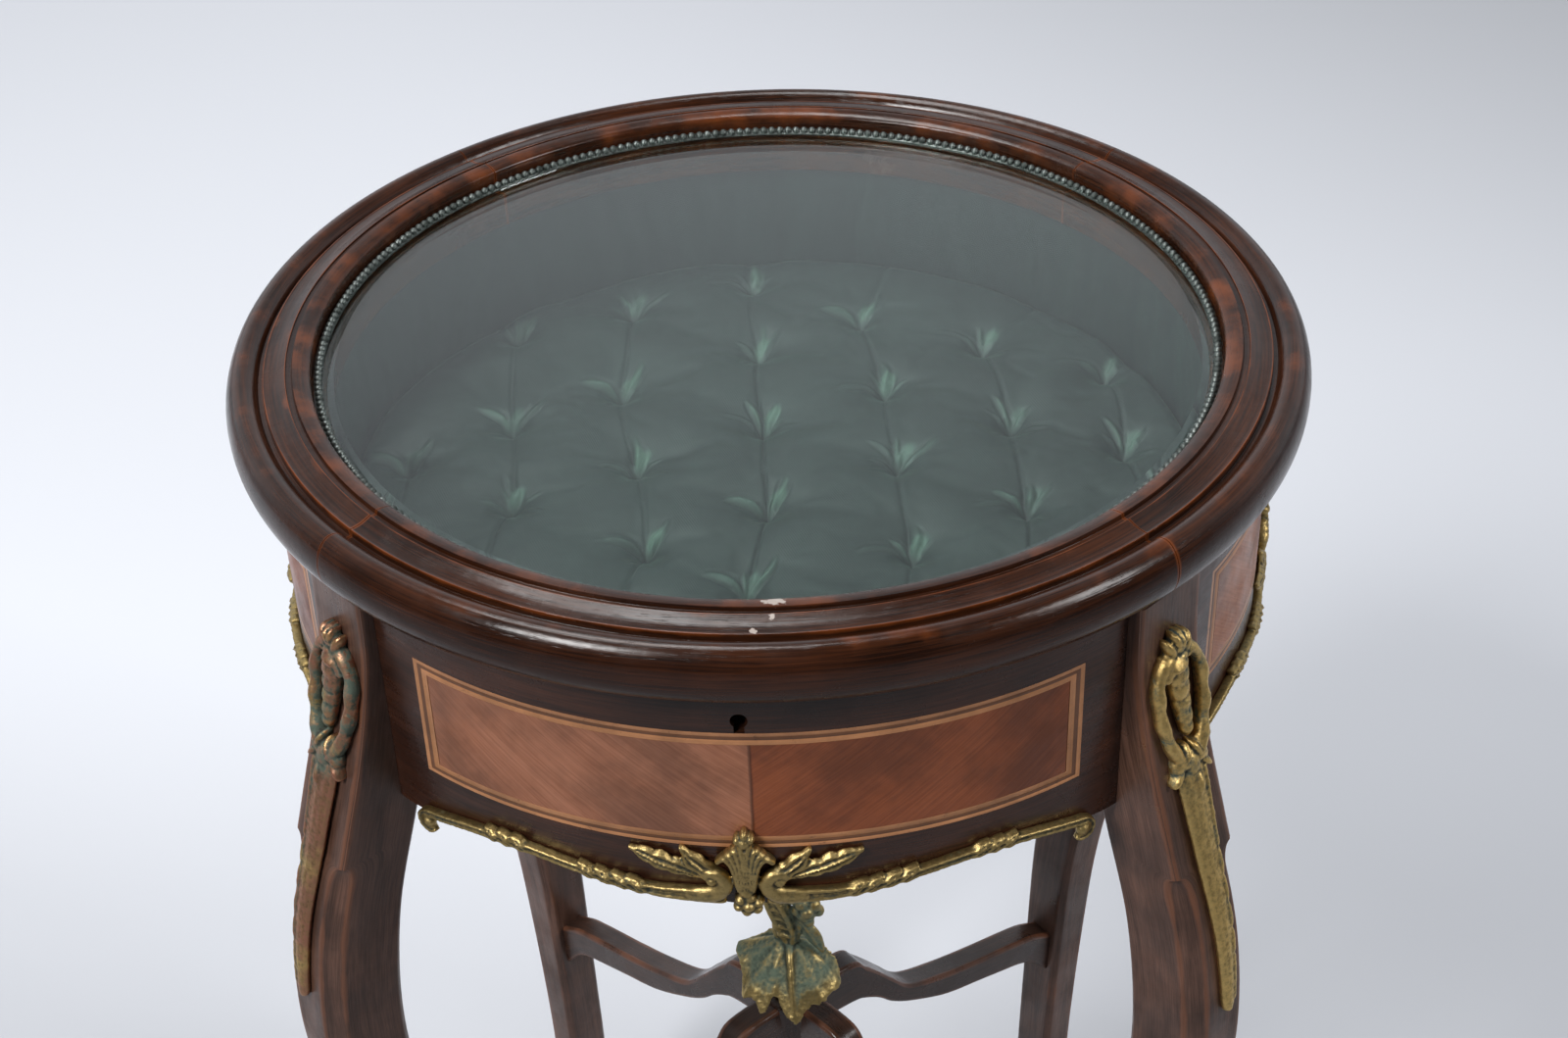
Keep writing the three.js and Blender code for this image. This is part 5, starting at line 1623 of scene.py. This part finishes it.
@dataclass
class LegLine:
    """The curve of a leg, and the size of its section at each height."""

    top: float = 726.1
    knee: float = 266.5
    ankle: float = 210
    stile: float = 40
    ankle_side: float = 28
    foot_side: float = 31
    ankle_height: float = 110
    taper_top: float = 560
    chamfer: float = 8
    chamfer_stop: float = 592
    stop_length: float = 14
    arris: float = 1.4
    inner_arris: float = 3.2
    bends: tuple = (
        (1, 0.16), (0.95, 0.19), (0.89, 0.36), (0.83, 0.6), (0.755, 0.89), (0.67, 1), (0.585, 0.885),
        (0.5, 0.57), (0.415, 0.27), (0.33, 0.14), (0.15, 0), (0.06, 0.07), (0, 0.21),
    )

    def __post_init__(self) -> None:
        """Works out the centre line once."""
        knots = [[self.ankle + (self.knee - self.ankle) * b, h * self.top] for h, b in self.bends]
        self.line = flowing(knots, 241)[::-1]

    def radius(self, height: Number) -> Array:
        """Distance of the leg's middle from the table's axis."""
        return np.interp(height, self.line[:, 1], self.line[:, 0])

    def side(self, height: Number) -> Array:
        """Size of the section.

        Args:
            height: Heights above the floor.

        Returns:
            The size at each height.
        """
        rise = ease(height, self.ankle_height, self.taper_top)
        flare = 1 - ease(height, 0, self.ankle_height)
        swell = (self.stile - self.ankle_side) * rise + (self.foot_side - self.ankle_side) * flare
        return self.ankle_side + swell

    def face(self, height: Number) -> Array:
        """Distance of the outer face from the table's axis."""
        return self.radius(height) + self.side(height) / 2

    def section(self, height: float, growth: float = 0) -> tuple[Array, Array]:
        """One section.

        Args:
            height: Its height.
            growth: How much larger it is on every side.

        Returns:
            Points lying flat, and the wear at each.
        """
        half = float(self.side(height)) / 2 + growth
        past = float(np.clip((height - self.chamfer_stop + self.stop_length) / self.stop_length, 0, 1))
        cant = self.arris + (self.chamfer - self.arris) * math.sqrt(1 - past**2.4)
        inner = self.inner_arris
        corners = [
            [half, -half + inner], [half, half - cant], [half - cant, half], [cant - half, half],
            [-half, half - cant], [-half, inner - half], [inner - half, -half], [half - inner, -half],
        ]
        rows = [[x, y, 0.7, 0.45 if y < 0 else 0.95] for x, y in corners]
        flat = with_flats(eased_corners(rows, 2), 3, 2.4)
        crown = 0.5 * (1 - (flat[:, 0] / half) ** 2)
        out = flat[:, 1] + np.where(flat[:, 1] > half - 1, crown - 0.5, 0)
        points = np.stack([flat[:, 0], -(float(self.radius(height)) + out), np.full(len(flat), height)], -1)
        return points, flat[:, 2]


@dataclass
class Legs:
    """Four curved legs, with their cast corner mounts and foot shoes."""

    line: LegLine = field(default_factory=LegLine)
    case_bottom: float = 618
    case_inner: float = 215
    foot: float = 3.4
    mount_top: float = 707.2
    mount_collar: float = 640.4
    mount_tip: float = 512.6
    shoe_height: float = 46
    shoe_peak: float = 16
    shoe_wall: float = 2.2
    # Rows of place across, height from the mount's top, width, height, how proud and tilt
    shell: tuple = (
        (0, -6, 9, 13, 6.8, 0), (-4.6, -8, 5, 12, 6.2, -24), (4.6, -8.4, 5.4, 12, 6.5, 26),
        (-2.2, -3.5, 3.6, 8, 7.4, -14), (2.4, -4, 3.4, 8, 7.2, 12), (0.2, -4.4, 3.2, 9, 7.8, 0),
        (-6.2, -13, 3.4, 8, 6.4, -50), (6, -13, 3.4, 8, 6.4, 50), (0.4, -12, 10, 4.4, 7.4, 0),
    )
    # Rows of place across, height from the mount's top, half width and how proud
    side_limb: tuple = (
        (3, -10, 2.6, 6), (8.4, -13.5, 3, 6.6), (12.4, -20, 2.5, 6), (13.6, -27, 3.3, 6.9),
        (13.4, -34, 2.5, 6), (13, -41, 3.3, 7), (11.2, -48, 2.6, 6.2), (9.6, -54, 3.5, 7),
        (6.6, -60, 3.4, 7), (3.2, -65, 3.6, 7.2),
    )
    shoulder: tuple = ((2, -13, 3.6, 7.2), (6.6, -16, 3.2, 7.6), (10.4, -21, 2.8, 6.8))
    # Rows like the shell's, with heights from the collar
    collar_folds: tuple = (
        (-6.6, 5, 8, 13, 6.4, 30), (6.8, 4.6, 8, 13, 6.6, -30), (0, 2, 11, 13, 7.2, 0),
        (-9, -1, 4, 12, 6.2, 42), (9, -1.4, 4, 12, 6.2, -42),
    )
    collar_beads: tuple = ((-3.4, 8, 3.6, 10, 7.8, 24), (3.6, 7, 3.6, 10, 7.8, -24))
    tail_width: float = 20.0
    tail_end: float = 7.4

    def on_face(self, corner: Corner) -> Mapping:
        """Maps places across, up and proud on to a leg's outer face."""

        def surface(across: Array, up: Array, proud: Array) -> Array:
            """Gives the points."""
            across, up, proud = np.broadcast_arrays(across, up, proud)
            return turned_about(np.stack([across, -(self.line.face(up) + proud), up], -1), corner.angle)

        return surface

    def leg(self, corner: Corner) -> None:
        """Builds one leg, its stile cut to the case.

        Args:
            corner: The leg's corner.
        """
        round_end = self.line.chamfer_stop + 1 - 15 * np.linspace(0, 1, 26) ** 1.8
        heights = np.unique(np.concatenate([np.linspace(self.foot, self.line.top, 110), round_end]))
        rows = [self.line.section(z) for z in heights]
        rings = turned_about(np.array([r[0] for r in rows]), corner.angle)
        wear_and_highlight = np.array([r[1] for r in rows])
        # On the front right leg the face beside the case gets a reddish painted reflection near the top,
        # carried like its worn edges
        if corner is Corner.FRONT_RIGHT:
            beside = rows[-1][0][:, 0] < -self.line.side(self.line.top) / 2 + 1
            wear_and_highlight += 0.7 * beside * (ease(heights, 632, 660) * ease(724 - heights, 0, 30))[:, None]
        piece = lofted(f"leg_wood_{corner.label}", rings, wear_and_highlight=wear_and_highlight)
        well = np.array([polar(self.case_inner, circle(96), z) for z in (self.case_bottom, 760.0)])
        cut_by(piece, [lofted("tool", well)])
        dress(creased(piece, 24), "table", [LEG_WOOD], f"leg_{corner.label}")

    def tail_half(self, share: float) -> float:
        """Half the width of the mount's tail, at a share of the way down it."""
        return (self.tail_width + (self.tail_end - self.tail_width) * share**0.82) / 2

    def lobe(self, lean: int) -> list[list[float]]:
        """The ribbed lobe that hangs from the mount's head.

        Args:
            lean: 1 where it leans to the right, and -1 to the left.

        Returns:
            Rows for a limb.
        """
        rows = []
        for share in np.arange(33) / 32:
            swell = (1.12 - 0.62 * share) * min(1.0, 0.62 + 4 * share, 0.45 + 5 * (1 - share))
            rib = 0.5 * abs(math.sin(math.pi * 6 * share)) ** 0.7 * (share > 0.1)
            place = [lean * (5.6 * share - 3.2), self.mount_top - 10 - share * 44]
            rows.append([*place, 6.2 * swell + rib, 7.4 * swell + 1.8 * rib + 0.8])
        return rows

    def ridge(self, lean: int) -> list[list[float]]:
        """The knotted ridge beside the middle of the tail, as rows for a limb.

        Args:
            lean: 1 for the right side, and -1 for the left.

        Returns:
            The rows.
        """
        top, length = self.mount_collar - 2, self.mount_collar - 2 - self.mount_tip - 6
        rows = []
        for share in np.arange(64) / 63:
            knot = abs(math.sin(math.pi * 9 * share)) ** 0.5 if 0.3 < share < 0.78 else 0.7
            place = [lean * self.tail_half(share) * 0.72, top - length * share]
            rows.append([*place, 1.3 + 0.6 * knot, 5.6 - 1.6 * share + 0.8 * knot])
        return rows

    def mount(self, corner: Corner) -> None:
        """Builds the pierced corner mount with its ribbed lobe and long tail.

        Args:
            corner: The leg's corner.
        """
        top, collar, tip = self.mount_top, self.mount_collar, self.mount_tip
        lean = 1 if corner.label.endswith("right") else -1
        work = Casting(f"corner_casting_{corner.label}", self.on_face(corner), sunk=-1.2)
        for row in shifted(self.shell, top):
            work.boss(*row)
        for way in (-1, 1.12):
            work.limb(shifted(self.side_limb, top, way), 54)
        work.limb(self.lobe(lean), 120)
        work.limb(shifted(self.shoulder, top, -lean), 24)
        middle_fold = (lean * 1.5, -8, 5, 13, 7.8, lean * 8)
        for row in shifted((*self.collar_folds, middle_fold, *self.collar_beads), collar):
            work.boss(*row)
        length = collar + 2 - tip
        tail = [[0, collar + 2 - length * k, self.tail_half(k), 6.2 - 1.8 * k] for k in np.arange(12) / 11]
        work.limb(tail, 60)
        work.limb(self.ridge(lean), 120)
        piece = work.cast(0.62, 0.22)
        local = turned_about(places(piece), -corner.angle)
        half = np.interp(local[:, 2], [tip, collar], [self.tail_end / 2, self.tail_width / 2])
        face = ease(0.42 * half - lean * local[:, 0], -1.2, 1.2) * ease(collar - local[:, 2], 4, 12)
        proud = -local[:, 1] - self.line.face(local[:, 2])
        hollow = ease(local[:, 2], collar - 6, collar + 10) * (1 - ease(proud, 2.5, 7.0))
        # The tail's bright side stays free of tarnish, and the hollows of the head take more of it
        paint(piece, "wear_and_highlight", 0.85 * face - 1.1 * hollow)
        finish = replace(
            CORNER_BRASS, name=f"corner_brass_{corner.label}", coppery=corner.copper,
            green=0.53 + 0.16 * corner.copper,
        )
        dress(piece, "table", [finish], f"corner_mount_{corner.label}")

    def shoe_ring(self, heights: Array, growth: float) -> Array:
        """A ring round the foot whose points stand at their own heights."""
        return np.array([self.line.section(float(height), growth)[0][k] for k, height in enumerate(heights)])

    def shoe(self, corner: Corner) -> None:
        """Builds a cast shoe round a foot, higher at the outside, with a rolled rim.

        Args:
            corner: The leg's corner.
        """
        wall = self.shoe_wall + 0.3
        flat, _ = self.line.section(20, wall)
        height = self.shoe_height - self.shoe_peak * (flat[:, 1] + float(self.line.radius(20))) / 17.0
        rim = np.clip(height, 26, self.shoe_height + self.shoe_peak)
        rings = [
            self.shoe_ring(rim * level, wall + 0.8 * (0.9 < level < 1) + 0.5 * (level < 0.1))
            for level in np.linspace(0, 1, 15)
        ]
        rings += [self.shoe_ring(rim * level, 0.05) for level in (1.0, 0.5, 0.09)]
        piece = lofted(f"shoe_{corner.label}", turned_about(np.array(rings), corner.angle))
        dress(creased(piece, 40), "table", [MOUNT_BRASS], f"foot_shoe_{corner.label}")

    def build(self) -> None:
        """Builds the four legs."""
        for corner in Corner:
            self.leg(corner)
            self.mount(corner)
            self.shoe(corner)


@dataclass
class PanelMounts:
    """The cast mounts along the panels' lower edges: fluted fan, scrolls, leaf sprigs and wrapped rods."""

    case: Case
    curl: float = 4.6
    # Share of the way along a rod, and width, of each wrap
    wraps: tuple = (
        (0.30, 0.012), (0.345, 0.016), (0.395, 0.018), (0.445, 0.014), (0.655, 0.012), (0.70, 0.014),
        (0.745, 0.013),
    )
    # Lift, thickness and how proud, of each of a rod's three strands
    strands: tuple = ((0, 1, 3.4), (0.72, 0.32, 4.5), (-0.72, 0.34, 4.2))
    # Rows of place across, place up, half width and how proud
    scroll: tuple = (
        (26, 3.2, 3.4, 4.4), (18, 3.4, 4.2, 5.4), (11.8, 5.6, 4.2, 6.2), (8.4, 10.4, 3.4, 6.6),
        (10.6, 15.2, 3, 6), (15, 16, 2.6, 5.4), (17.2, 12.8, 2.2, 4.8),
    )
    short_sprig: tuple = ((10, 12, 2.6, 4), (16, 17, 5.4, 5), (22, 22, 4.4, 4.6), (27, 28.5, 0.8, 3))
    long_sprig: tuple = ((18, 13, 1.8, 3.2), (27, 17, 5, 4.6), (38, 21, 5.2, 4.6), (49, 25, 0.9, 2.6))
    fan_stem: tuple = ((0, 8, 1.4, 5.2), (0, 20, 2, 6.6), (0, 31, 2.4, 6.8))
    # Rows of place across, place up, width, height and how proud
    fan_tip: tuple = ((0, 35, 5.4, 7, 7), (-3, 36, 3.4, 4.6, 6.2), (2.8, 36.4, 3.4, 4.6, 6.2),
                      (0, 38.6, 3.4, 4.6, 6.2), (0.8, -0.4, 5.6, 5.6, 8))

    def on_face(self, side: Side) -> Mapping:
        """Maps places along, above the lower edge and proud on to a panel's face."""

        def surface(across: Array, up: Array, proud: Array) -> Array:
            """Gives the points."""
            angle = side.angle + np.degrees(np.asarray(across) / self.case.radius)
            return polar(self.case.radius + 0.3 + proud, angle, self.case.bottom + up)

        return surface

    def mount(self, side: Side) -> None:
        """Builds one panel's mount.

        Args:
            side: The panel's side.
        """
        half = self.case.half_angle(side)
        length = self.case.radius * math.radians(half)
        end = length - self.case.radius * math.radians(4.4) - self.curl
        work = Casting(f"panel_casting_{side.label}", self.on_face(side), sunk=-0.4)

        def edge(along: float) -> float:
            """Height of the rod's line."""
            return max(float(self.case.edge_rise(abs(along) / length)), 0) + 3

        middle = edge(end) - self.curl
        for way in (-1, 1):
            for lift, thick, proud in self.strands:
                rod = []
                for share in np.linspace(0.055, 1, 60):
                    wrap = sum(math.exp(-(((share - c) / w) ** 2)) for c, w in self.wraps)
                    half = 3.9 - 1.7 * float(ease(share, 0.05, 0.42))
                    wide = half * thick + 1.5 * wrap * (lift == 0)
                    rod.append([way * end * share, edge(end * share) + lift * half, wide, proud + 1.2 * wrap])
                for turn in np.radians([60, 25, -10, -50, -90, -130]):
                    curl = self.curl + lift * 1.6
                    place = [way * (end + curl * math.cos(turn)), middle + curl * math.sin(turn)]
                    rod.append([*place, 2.0 * thick, proud])
                work.limb(rod, 220)
            work.boss(way * end, middle, 6.4, 6.4, 5.4)
            for c, _ in self.wraps:
                x = end * c
                leaf = [(x - 4, edge(x - 4) - 1.5, 1.2, 3.8), (x, edge(x) + 1.2, 2.8, 5.8),
                        (x + 5, edge(x + 5) + 3.8, 0.8, 3.9)]
                work.leaf(leaf, 1, 16, way < 0)
            work.limb(shifted(self.scroll, 0, way), 60)
            work.boss(way * 14, 12.4, 5.2, 5.2, 6.2)
            work.leaf(self.short_sprig, 2.5, 44, way < 0)
            work.leaf(self.long_sprig, 4.5, 60, way < 0)
            for k in range(4):
                rib = ((0.5 + 0.9 * k, 6, 0.8, 5), (0.7 + 1.15 * k, 15, 1, 6.4),
                       (0.9 + 1.6 * k, 25 - 0.8 * k, 1.2, 7.0), (1.6 + 2.3 * k, 32.0 - 2.0 * k, 1.45, 6.4),
                       (3.0 + 3.0 * k, 32.5 - 3.4 * k, 1.4, 5.2))
                work.limb(shifted(rib, 0, way), 40)
        work.limb(self.fan_stem, 30)
        for row in self.fan_tip:
            work.boss(*row)
        for k in range(6):
            turn = math.radians(60 * k + 20)
            work.boss(0.8 + 4.4 * math.cos(turn), -0.4 + 4.0 * math.sin(turn), 5.0, 4.6, 6.4)
        work.boss(0, 6.6, 6, 6, 6.4)
        piece = work.cast(0.62, 0.2)
        dress(piece, "table", [MOUNT_BRASS], f"apron_mount_{side.label}")

    def build(self) -> None:
        """Builds the four mounts."""
        for side in Side:
            self.mount(side)


@dataclass
class Stretcher:
    """The four shaped arms, the block where they meet and the leaf finial on it."""

    hub_height: float = 317
    hub_depth: float = 34
    hub_side: float = 34
    arm_width: float = 16
    arm_end_low: float = 200
    reach: float = 200
    shares: tuple = (
        (1.03, 0.24, -0.03), (1, 0.265, 0), (0.94, 0.316, 0.12), (0.88, 0.345, 0.175), (0.8, 0.376, 0.214),
        (0.71, 0.41, 0.256), (0.565, 0.475, 0.325), (0.425, 0.564, 0.444), (0.35, 0.7, 0.53),
        (0.3, 0.803, 0.615), (0.25, 0.897, 0.675), (0.2, 0.974, 0.709), (0.05, 0.99, 0.735),
    )
    # The leaf: its size, how far its stem stands forward, and its reach at each angle from the front
    leaf_size: float = 33
    leaf_forward: float = 7
    leaf_outline: tuple = (
        (0.6, 0.90), (6.8, 0.98), (13.5, 0.92), (18.9, 0.84), (27.7, 0.81), (35, 0.87), (44.6, 0.89),
        (52.2, 0.87), (65.1, 0.94), (71.5, 0.92), (80, 0.86), (86, 0.78), (89, 0.62), (94, 0.48), (110, 0.36),
        (150, 0.32), (200, 0.36), (235, 0.50), (246, 0.80), (250, 0.90), (255, 0.93), (264.6, 0.93),
        (276.6, 0.86), (289.5, 0.85), (295.6, 0.90), (305.7, 0.97), (313.7, 0.89), (320.9, 0.88),
        (329.6, 0.93), (335.6, 0.86), (337.3, 0.73), (344.3, 0.70), (353.7, 0.82), (359.9, 0.90),
    )
    leaf_veins: tuple = (6, 40, 68, 88, 255, 282, 306, 330)
    # Rows of x, y, height over the base and radius
    calyx: tuple = (
        (0, -8, 42, 4.2), (-0.6, -9, 52, 6.2), (-2.4, -10, 62, 7.2), (-4.6, -10.5, 72, 7.6),
        (-6.6, -11, 80, 6.2), (-8.4, -11, 85, 3.4),
    )
    left_lip: tuple = (
        (0, -11, 44, 1.5), (-3.6, -12.5, 55, 1.6), (-7.4, -13.2, 66, 1.7), (-11, -13, 76, 1.6),
        (-12.6, -12.4, 83, 1.3),
    )
    right_lip: tuple = (
        (1.6, -11.4, 43, 1.4), (2.2, -13.4, 55, 1.5), (0.4, -14.6, 66, 1.6), (-2.6, -15, 75, 1.5),
        (-6.4, -14.6, 82, 1.3), (-9.6, -13.6, 85, 1),
    )
    bract: tuple = ((7, -12, 66, 1), (11, -12.5, 60, 4.2), (14.5, -13, 53, 4.6), (17.4, -13, 46, 2.8),
                    (19, -13, 41, 0.7))
    buds: tuple = (
        (10, -12, 72, 6), (14.5, -12, 77, 4.2), (8, -14, 80, 4.2), (13, -9, 82, 4.2), (16.8, -10, 71, 3.6),
        (5.5, -13, 74, 3.6), (11, -16, 75, 3.6), (12, -15, 67, 3), (3.5, -12, 81, 3.4),
    )

    def arm(self, corner: Corner) -> None:
        """Builds one arm as rows of rounded sections from leg to hub.

        Args:
            corner: The arm's corner.
        """
        tall = self.hub_height - self.arm_end_low
        knots = np.array(self.shares) * [self.reach, tall, tall] + [0, self.arm_end_low, self.arm_end_low]
        line = flowing(knots, 90)
        half = self.arm_width / 2
        rings, wear_and_highlight = [], []
        for radius, high, low in line:
            tall = high - low
            corners = [[-half, 0, 2.4, 0.9], [-half, tall, 2.4, 1], [half, tall, 2.4, 1], [half, 0, 2.4, 0.9]]
            flat = with_flats(eased_corners(corners, 5), 6)
            rings.append(np.stack([flat[:, 0], np.full(len(flat), -radius), low + flat[:, 1]], -1))
            wear_and_highlight.append(flat[:, 2] * 0.8)
        rings = turned_about(np.array(rings), corner.angle)
        piece = lofted(f"arm_{corner.label}", rings, wear_and_highlight=np.array(wear_and_highlight))
        dress(creased(piece, 40), "table", [STRETCHER_WOOD], f"stretcher_arm_{corner.label}")

    def hub(self) -> None:
        """Builds the eight-sided block with eased edges."""
        radius = self.hub_side / 2 / math.cos(math.pi / 8)
        rings = np.array([
            polar(radius * wide, circle(8) + 22.5, self.hub_height - self.hub_depth * down)
            for wide, down in ((0.86, 1), (0.93, 0.5), (1.0, 0))
        ])
        piece = softened(lofted("hub_block", rings), 1.4, 25, 3)
        dress(piece, "table", [STRETCHER_WOOD], "stretcher_hub")

    def leaf_reach(self, turns: Array) -> Array:
        """How far the leaf reaches from its stem, at angles from the front."""
        rows = np.array(self.leaf_outline)
        return np.interp(turns % 360, rows[:, 0], rows[:, 1], period=360)

    def leaf_sheet(self) -> Piece:
        """The bent vine leaf, thick enough to cast.

        Returns:
            The leaf, before it is cast.
        """
        turns = circle(240)
        angle = np.radians(turns)
        reach = self.leaf_reach(turns)
        sides = []
        for under in (0, 1):
            rows = []
            for share in np.linspace(0.02, 1, 30):
                span = reach * share
                drop = 18 + 22 * np.maximum(np.cos(angle), 0)
                vein = np.zeros(len(turns))
                for way in self.leaf_veins:
                    gap = np.abs(np.angle(np.exp(1j * (angle - math.radians(way)))))
                    vein += 1.5 * np.exp(-((gap * max(share, 0.12) * 15) ** 2)) * (1 - 0.5 * share)
                curl = 4.0 * np.exp(-(((turns - 256) / 17) ** 2)) * max(share - 0.62, 0) * 2.6
                ripple = (1.3 * np.sin(angle * 8 + 1) + 0.9 * np.sin(angle * 13)) * share**3
                z = self.hub_height + 47 - drop * span**1.6 + vein + ripple + curl
                z = np.maximum(z - under * (2.4 - 0.8 * share), self.hub_height + 1)
                x = np.sin(angle) * span * self.leaf_size
                y = -np.cos(angle) * span * self.leaf_size - self.leaf_forward
                rows.append(np.stack([x, y, z], -1))
            sides.append(np.array(rows))
        return lofted("leaf", np.concatenate([sides[0], sides[1][::-1]]))

    def finial(self) -> None:
        """Builds the leaf with its ribbed calyx, bract and cluster of buds."""
        base = self.hub_height + 0.5
        work = Casting("leaf_casting")

        def tube(rows: Rows, count: int, flat: float = 1) -> None:
            """Adds a stem through rows of x, y, height over the base and radius.

            Args:
                rows: The rows.
                count: Rings along the stem.
                flat: Depth of its section to its width.
            """
            line = flowing(rows, count) + [0, 0, base, 0]
            way = heading(line[:, :3])
            side = np.cross(way, [0.2, 1, 0.1])
            side /= np.linalg.norm(side, axis=1, keepdims=True)
            other = np.cross(way, side) * flat
            phase = np.linspace(0, 2 * math.pi, 14, endpoint=False)
            turn = side[:, None] * np.cos(phase)[:, None] + other[:, None] * np.sin(phase)[:, None]
            work.parts.append(lofted("stem", line[:, None, :3] + line[:, None, 3:] * turn))

        tube([[0, 0, 0, 11.5], [0, 0, 3, 11.5], [0, -0.5, 6, 8.5], [0, -3, 14, 5.5]], 16)
        tube([[0, -2, 8, 5.2], [0, -5, 24, 4.6], [0, -7, 40, 4.6], [0, -8, 48, 5]], 30)
        tube(self.calyx, 40, 0.55)
        tube(self.left_lip, 40)
        tube(self.right_lip, 40)
        for k in range(4):
            low = 54 + 6.4 * k
            tube([[0.8 - 1.2 * k, -14.2, low, 1], [-3.4 - 1.0 * k, -14.4, low + 2.2, 1.2],
                  [-6.2 - 1.2 * k, -13.2, low + 1.4, 0.9]], 14)
        tube([[1, -8, 42, 3.8], [4, -9, 54, 3.6], [8, -10, 64, 4.4], [10, -10, 72, 5.2]], 30)
        for x, y, z, r in self.buds:
            ball = ((-1, 0.3), (-0.6, 0.8), (0, 1), (0.6, 0.8), (1, 0.3))
            tube([[x, y, z + r * up, r * full] for up, full in ball], 14)
        tube(self.bract, 24, 0.6)
        tube([[8, -13.6, 65, 0.8], [12, -15, 58, 1], [15.6, -15.4, 50, 0.9], [18.4, -14.4, 43, 0.5]], 24)
        tube([[-2, -7, 42, 1.2], [-6, -6, 49, 2.8], [-8, -5, 55, 1.6], [-8, -4, 59, 0.6]], 20)
        tube([[0.4, -8, 47, 2.4], [0.8, -18, 41.2, 2], [2, -28, 28, 1.6], [3.2, -36, 14, 1.1]], 40)
        work.parts.append(self.leaf_sheet())
        piece = work.cast(0.75, 0.35)
        point = places(piece)
        behind = point[:, 1] + self.leaf_forward
        turn = np.degrees(np.arctan2(point[:, 0], -behind))
        span = np.hypot(point[:, 0], behind) / self.leaf_size / self.leaf_reach(turn)
        low = point[:, 2] < base + 44
        ragged = ease(span, 0.74, 0.94) * ease(np.cos(np.radians(turn)), 0.0, 0.55) * low
        midrib = np.exp(-(((point[:, 0] - 1.5) / 2.4) ** 2)) * low * (point[:, 1] < -9)
        calyx = 0.7 * ease(-point[:, 0], -3, 4) * (point[:, 2] > base + 48)
        paint(piece, "wear_and_highlight", np.clip(ragged + midrib + calyx, 0, 1))
        dress(piece, "table", [LEAF_BRASS], "leaf_finial")

    def build(self) -> None:
        """Builds the stretcher."""
        for corner in Corner:
            self.arm(corner)
        self.hub()
        self.finial()


# Studio


@dataclass
class Studio:
    """The pale floor, the soft lights and the camera at the photograph's angle."""

    camera_place: Colour = (71.668, -970.296, 1344.970)
    elevation: float = 35.727
    bearing: float = 3.939
    roll: float = -2.023
    lens: float = 56.12
    near_sky: Colour = (0.07, 0.072, 0.078)
    far_sky: Colour = (0.76, 0.80, 0.85)
    floor_half: float = 14000.0

    def camera(self) -> None:
        """Sets the camera up."""
        e, b, r = (math.radians(v) for v in (self.elevation, self.bearing, self.roll))
        back = Vector((math.sin(b) * math.cos(e), -math.cos(b) * math.cos(e), math.sin(e)))
        right = Vector((math.cos(b), math.sin(b), 0))
        up = back.cross(right)
        level = math.cos(r) * right + math.sin(r) * up
        upright = -math.sin(r) * right + math.cos(r) * up
        data = bpy.data.cameras.new("view")
        adjust(data, lens=self.lens, sensor_width=36, clip_end=60)
        camera = placed("view", data)
        turn = Matrix((level, upright, back)).transposed().to_4x4()
        camera.matrix_world = Matrix.Translation(Vector(self.camera_place) * MM) @ turn
        bpy.context.scene.camera = camera

    def lamp(self, name: str, place: Colour, target: Colour, size: tuple[float, float], power: float) -> None:
        """Hangs a soft lamp.

        Args:
            name: Its name.
            place: Where it hangs, in metres.
            target: What it looks at.
            size: Its width and height in metres.
            power: Its watts.
        """
        data = bpy.data.lights.new(name, "AREA")
        adjust(data, shape="RECTANGLE", size=size[0], size_y=size[1], energy=power)
        lamp = placed(name, data)
        lamp.location = place
        lamp.rotation_euler = (Vector(target) - Vector(place)).to_track_quat("-Z", "Y").to_euler()

    def floor(self) -> None:
        """Lays the floor."""
        corners = np.array([[-1, -1, 0], [1, -1, 0], [1, 1, 0], [-1, 1, 0]]) * self.floor_half
        floor = piece_of("studio_floor", corners, [[0, 1, 2, 3]])
        floor.data.materials.append(FLOOR.make())

    def sky(self) -> None:
        """Lights the room evenly, paler behind the object than on the camera's side."""
        world = bpy.context.scene.world or bpy.data.worlds.new("room")
        bpy.context.scene.world = world
        world.use_nodes = True
        world.node_tree.nodes.clear()
        g = Graph(world.node_tree)
        across, back, up = g.parts(g.add("TexCoord").outputs["Generated"])
        right = g.between(across, -0.9, 0.9, 1.05, 0.8)
        shade = g.blend(g.between(back, -0.1, 0.5), self.near_sky, self.far_sky)
        high = g.between(up, 0.42, 0.72, 1.0, 0.4)
        shade = g.toned(shade, g.times(right, high))
        ground = g.add("Background", {"Color": shade, "Strength": 1.0}).outputs[0]
        g.add("OutputWorld", {"Surface": ground})

    def build(self) -> None:
        """Sets the whole studio."""
        self.camera()
        self.floor()
        self.sky()
        self.lamp("key", (-2.4, -2.6, 4.0), (0, 0, 0.7), (1.4, 1.4), 195)
        self.lamp("side", (3.2, -1.1, 3.0), (0, 0, 0.6), (1.1, 1.5), 62)
        self.lamp("top", (-0.9, 1.0, 4.6), (0, 0, 0.0), (2.2, 1.4), 95)
        bpy.context.scene.view_settings.view_transform = "Standard"


def main() -> None:
    """Builds the table and the studio, and logs each part once it is built."""
    logging.basicConfig(level=logging.INFO, format="%(name)s %(message)s")
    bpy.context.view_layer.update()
    case = Case()
    for part in (Lid(), case, Cushion(), Legs(), PanelMounts(case), Stretcher(), Studio()):
        part.build()
        log.info("%s is built", type(part).__name__)


if __name__ == "__main__":
    main()
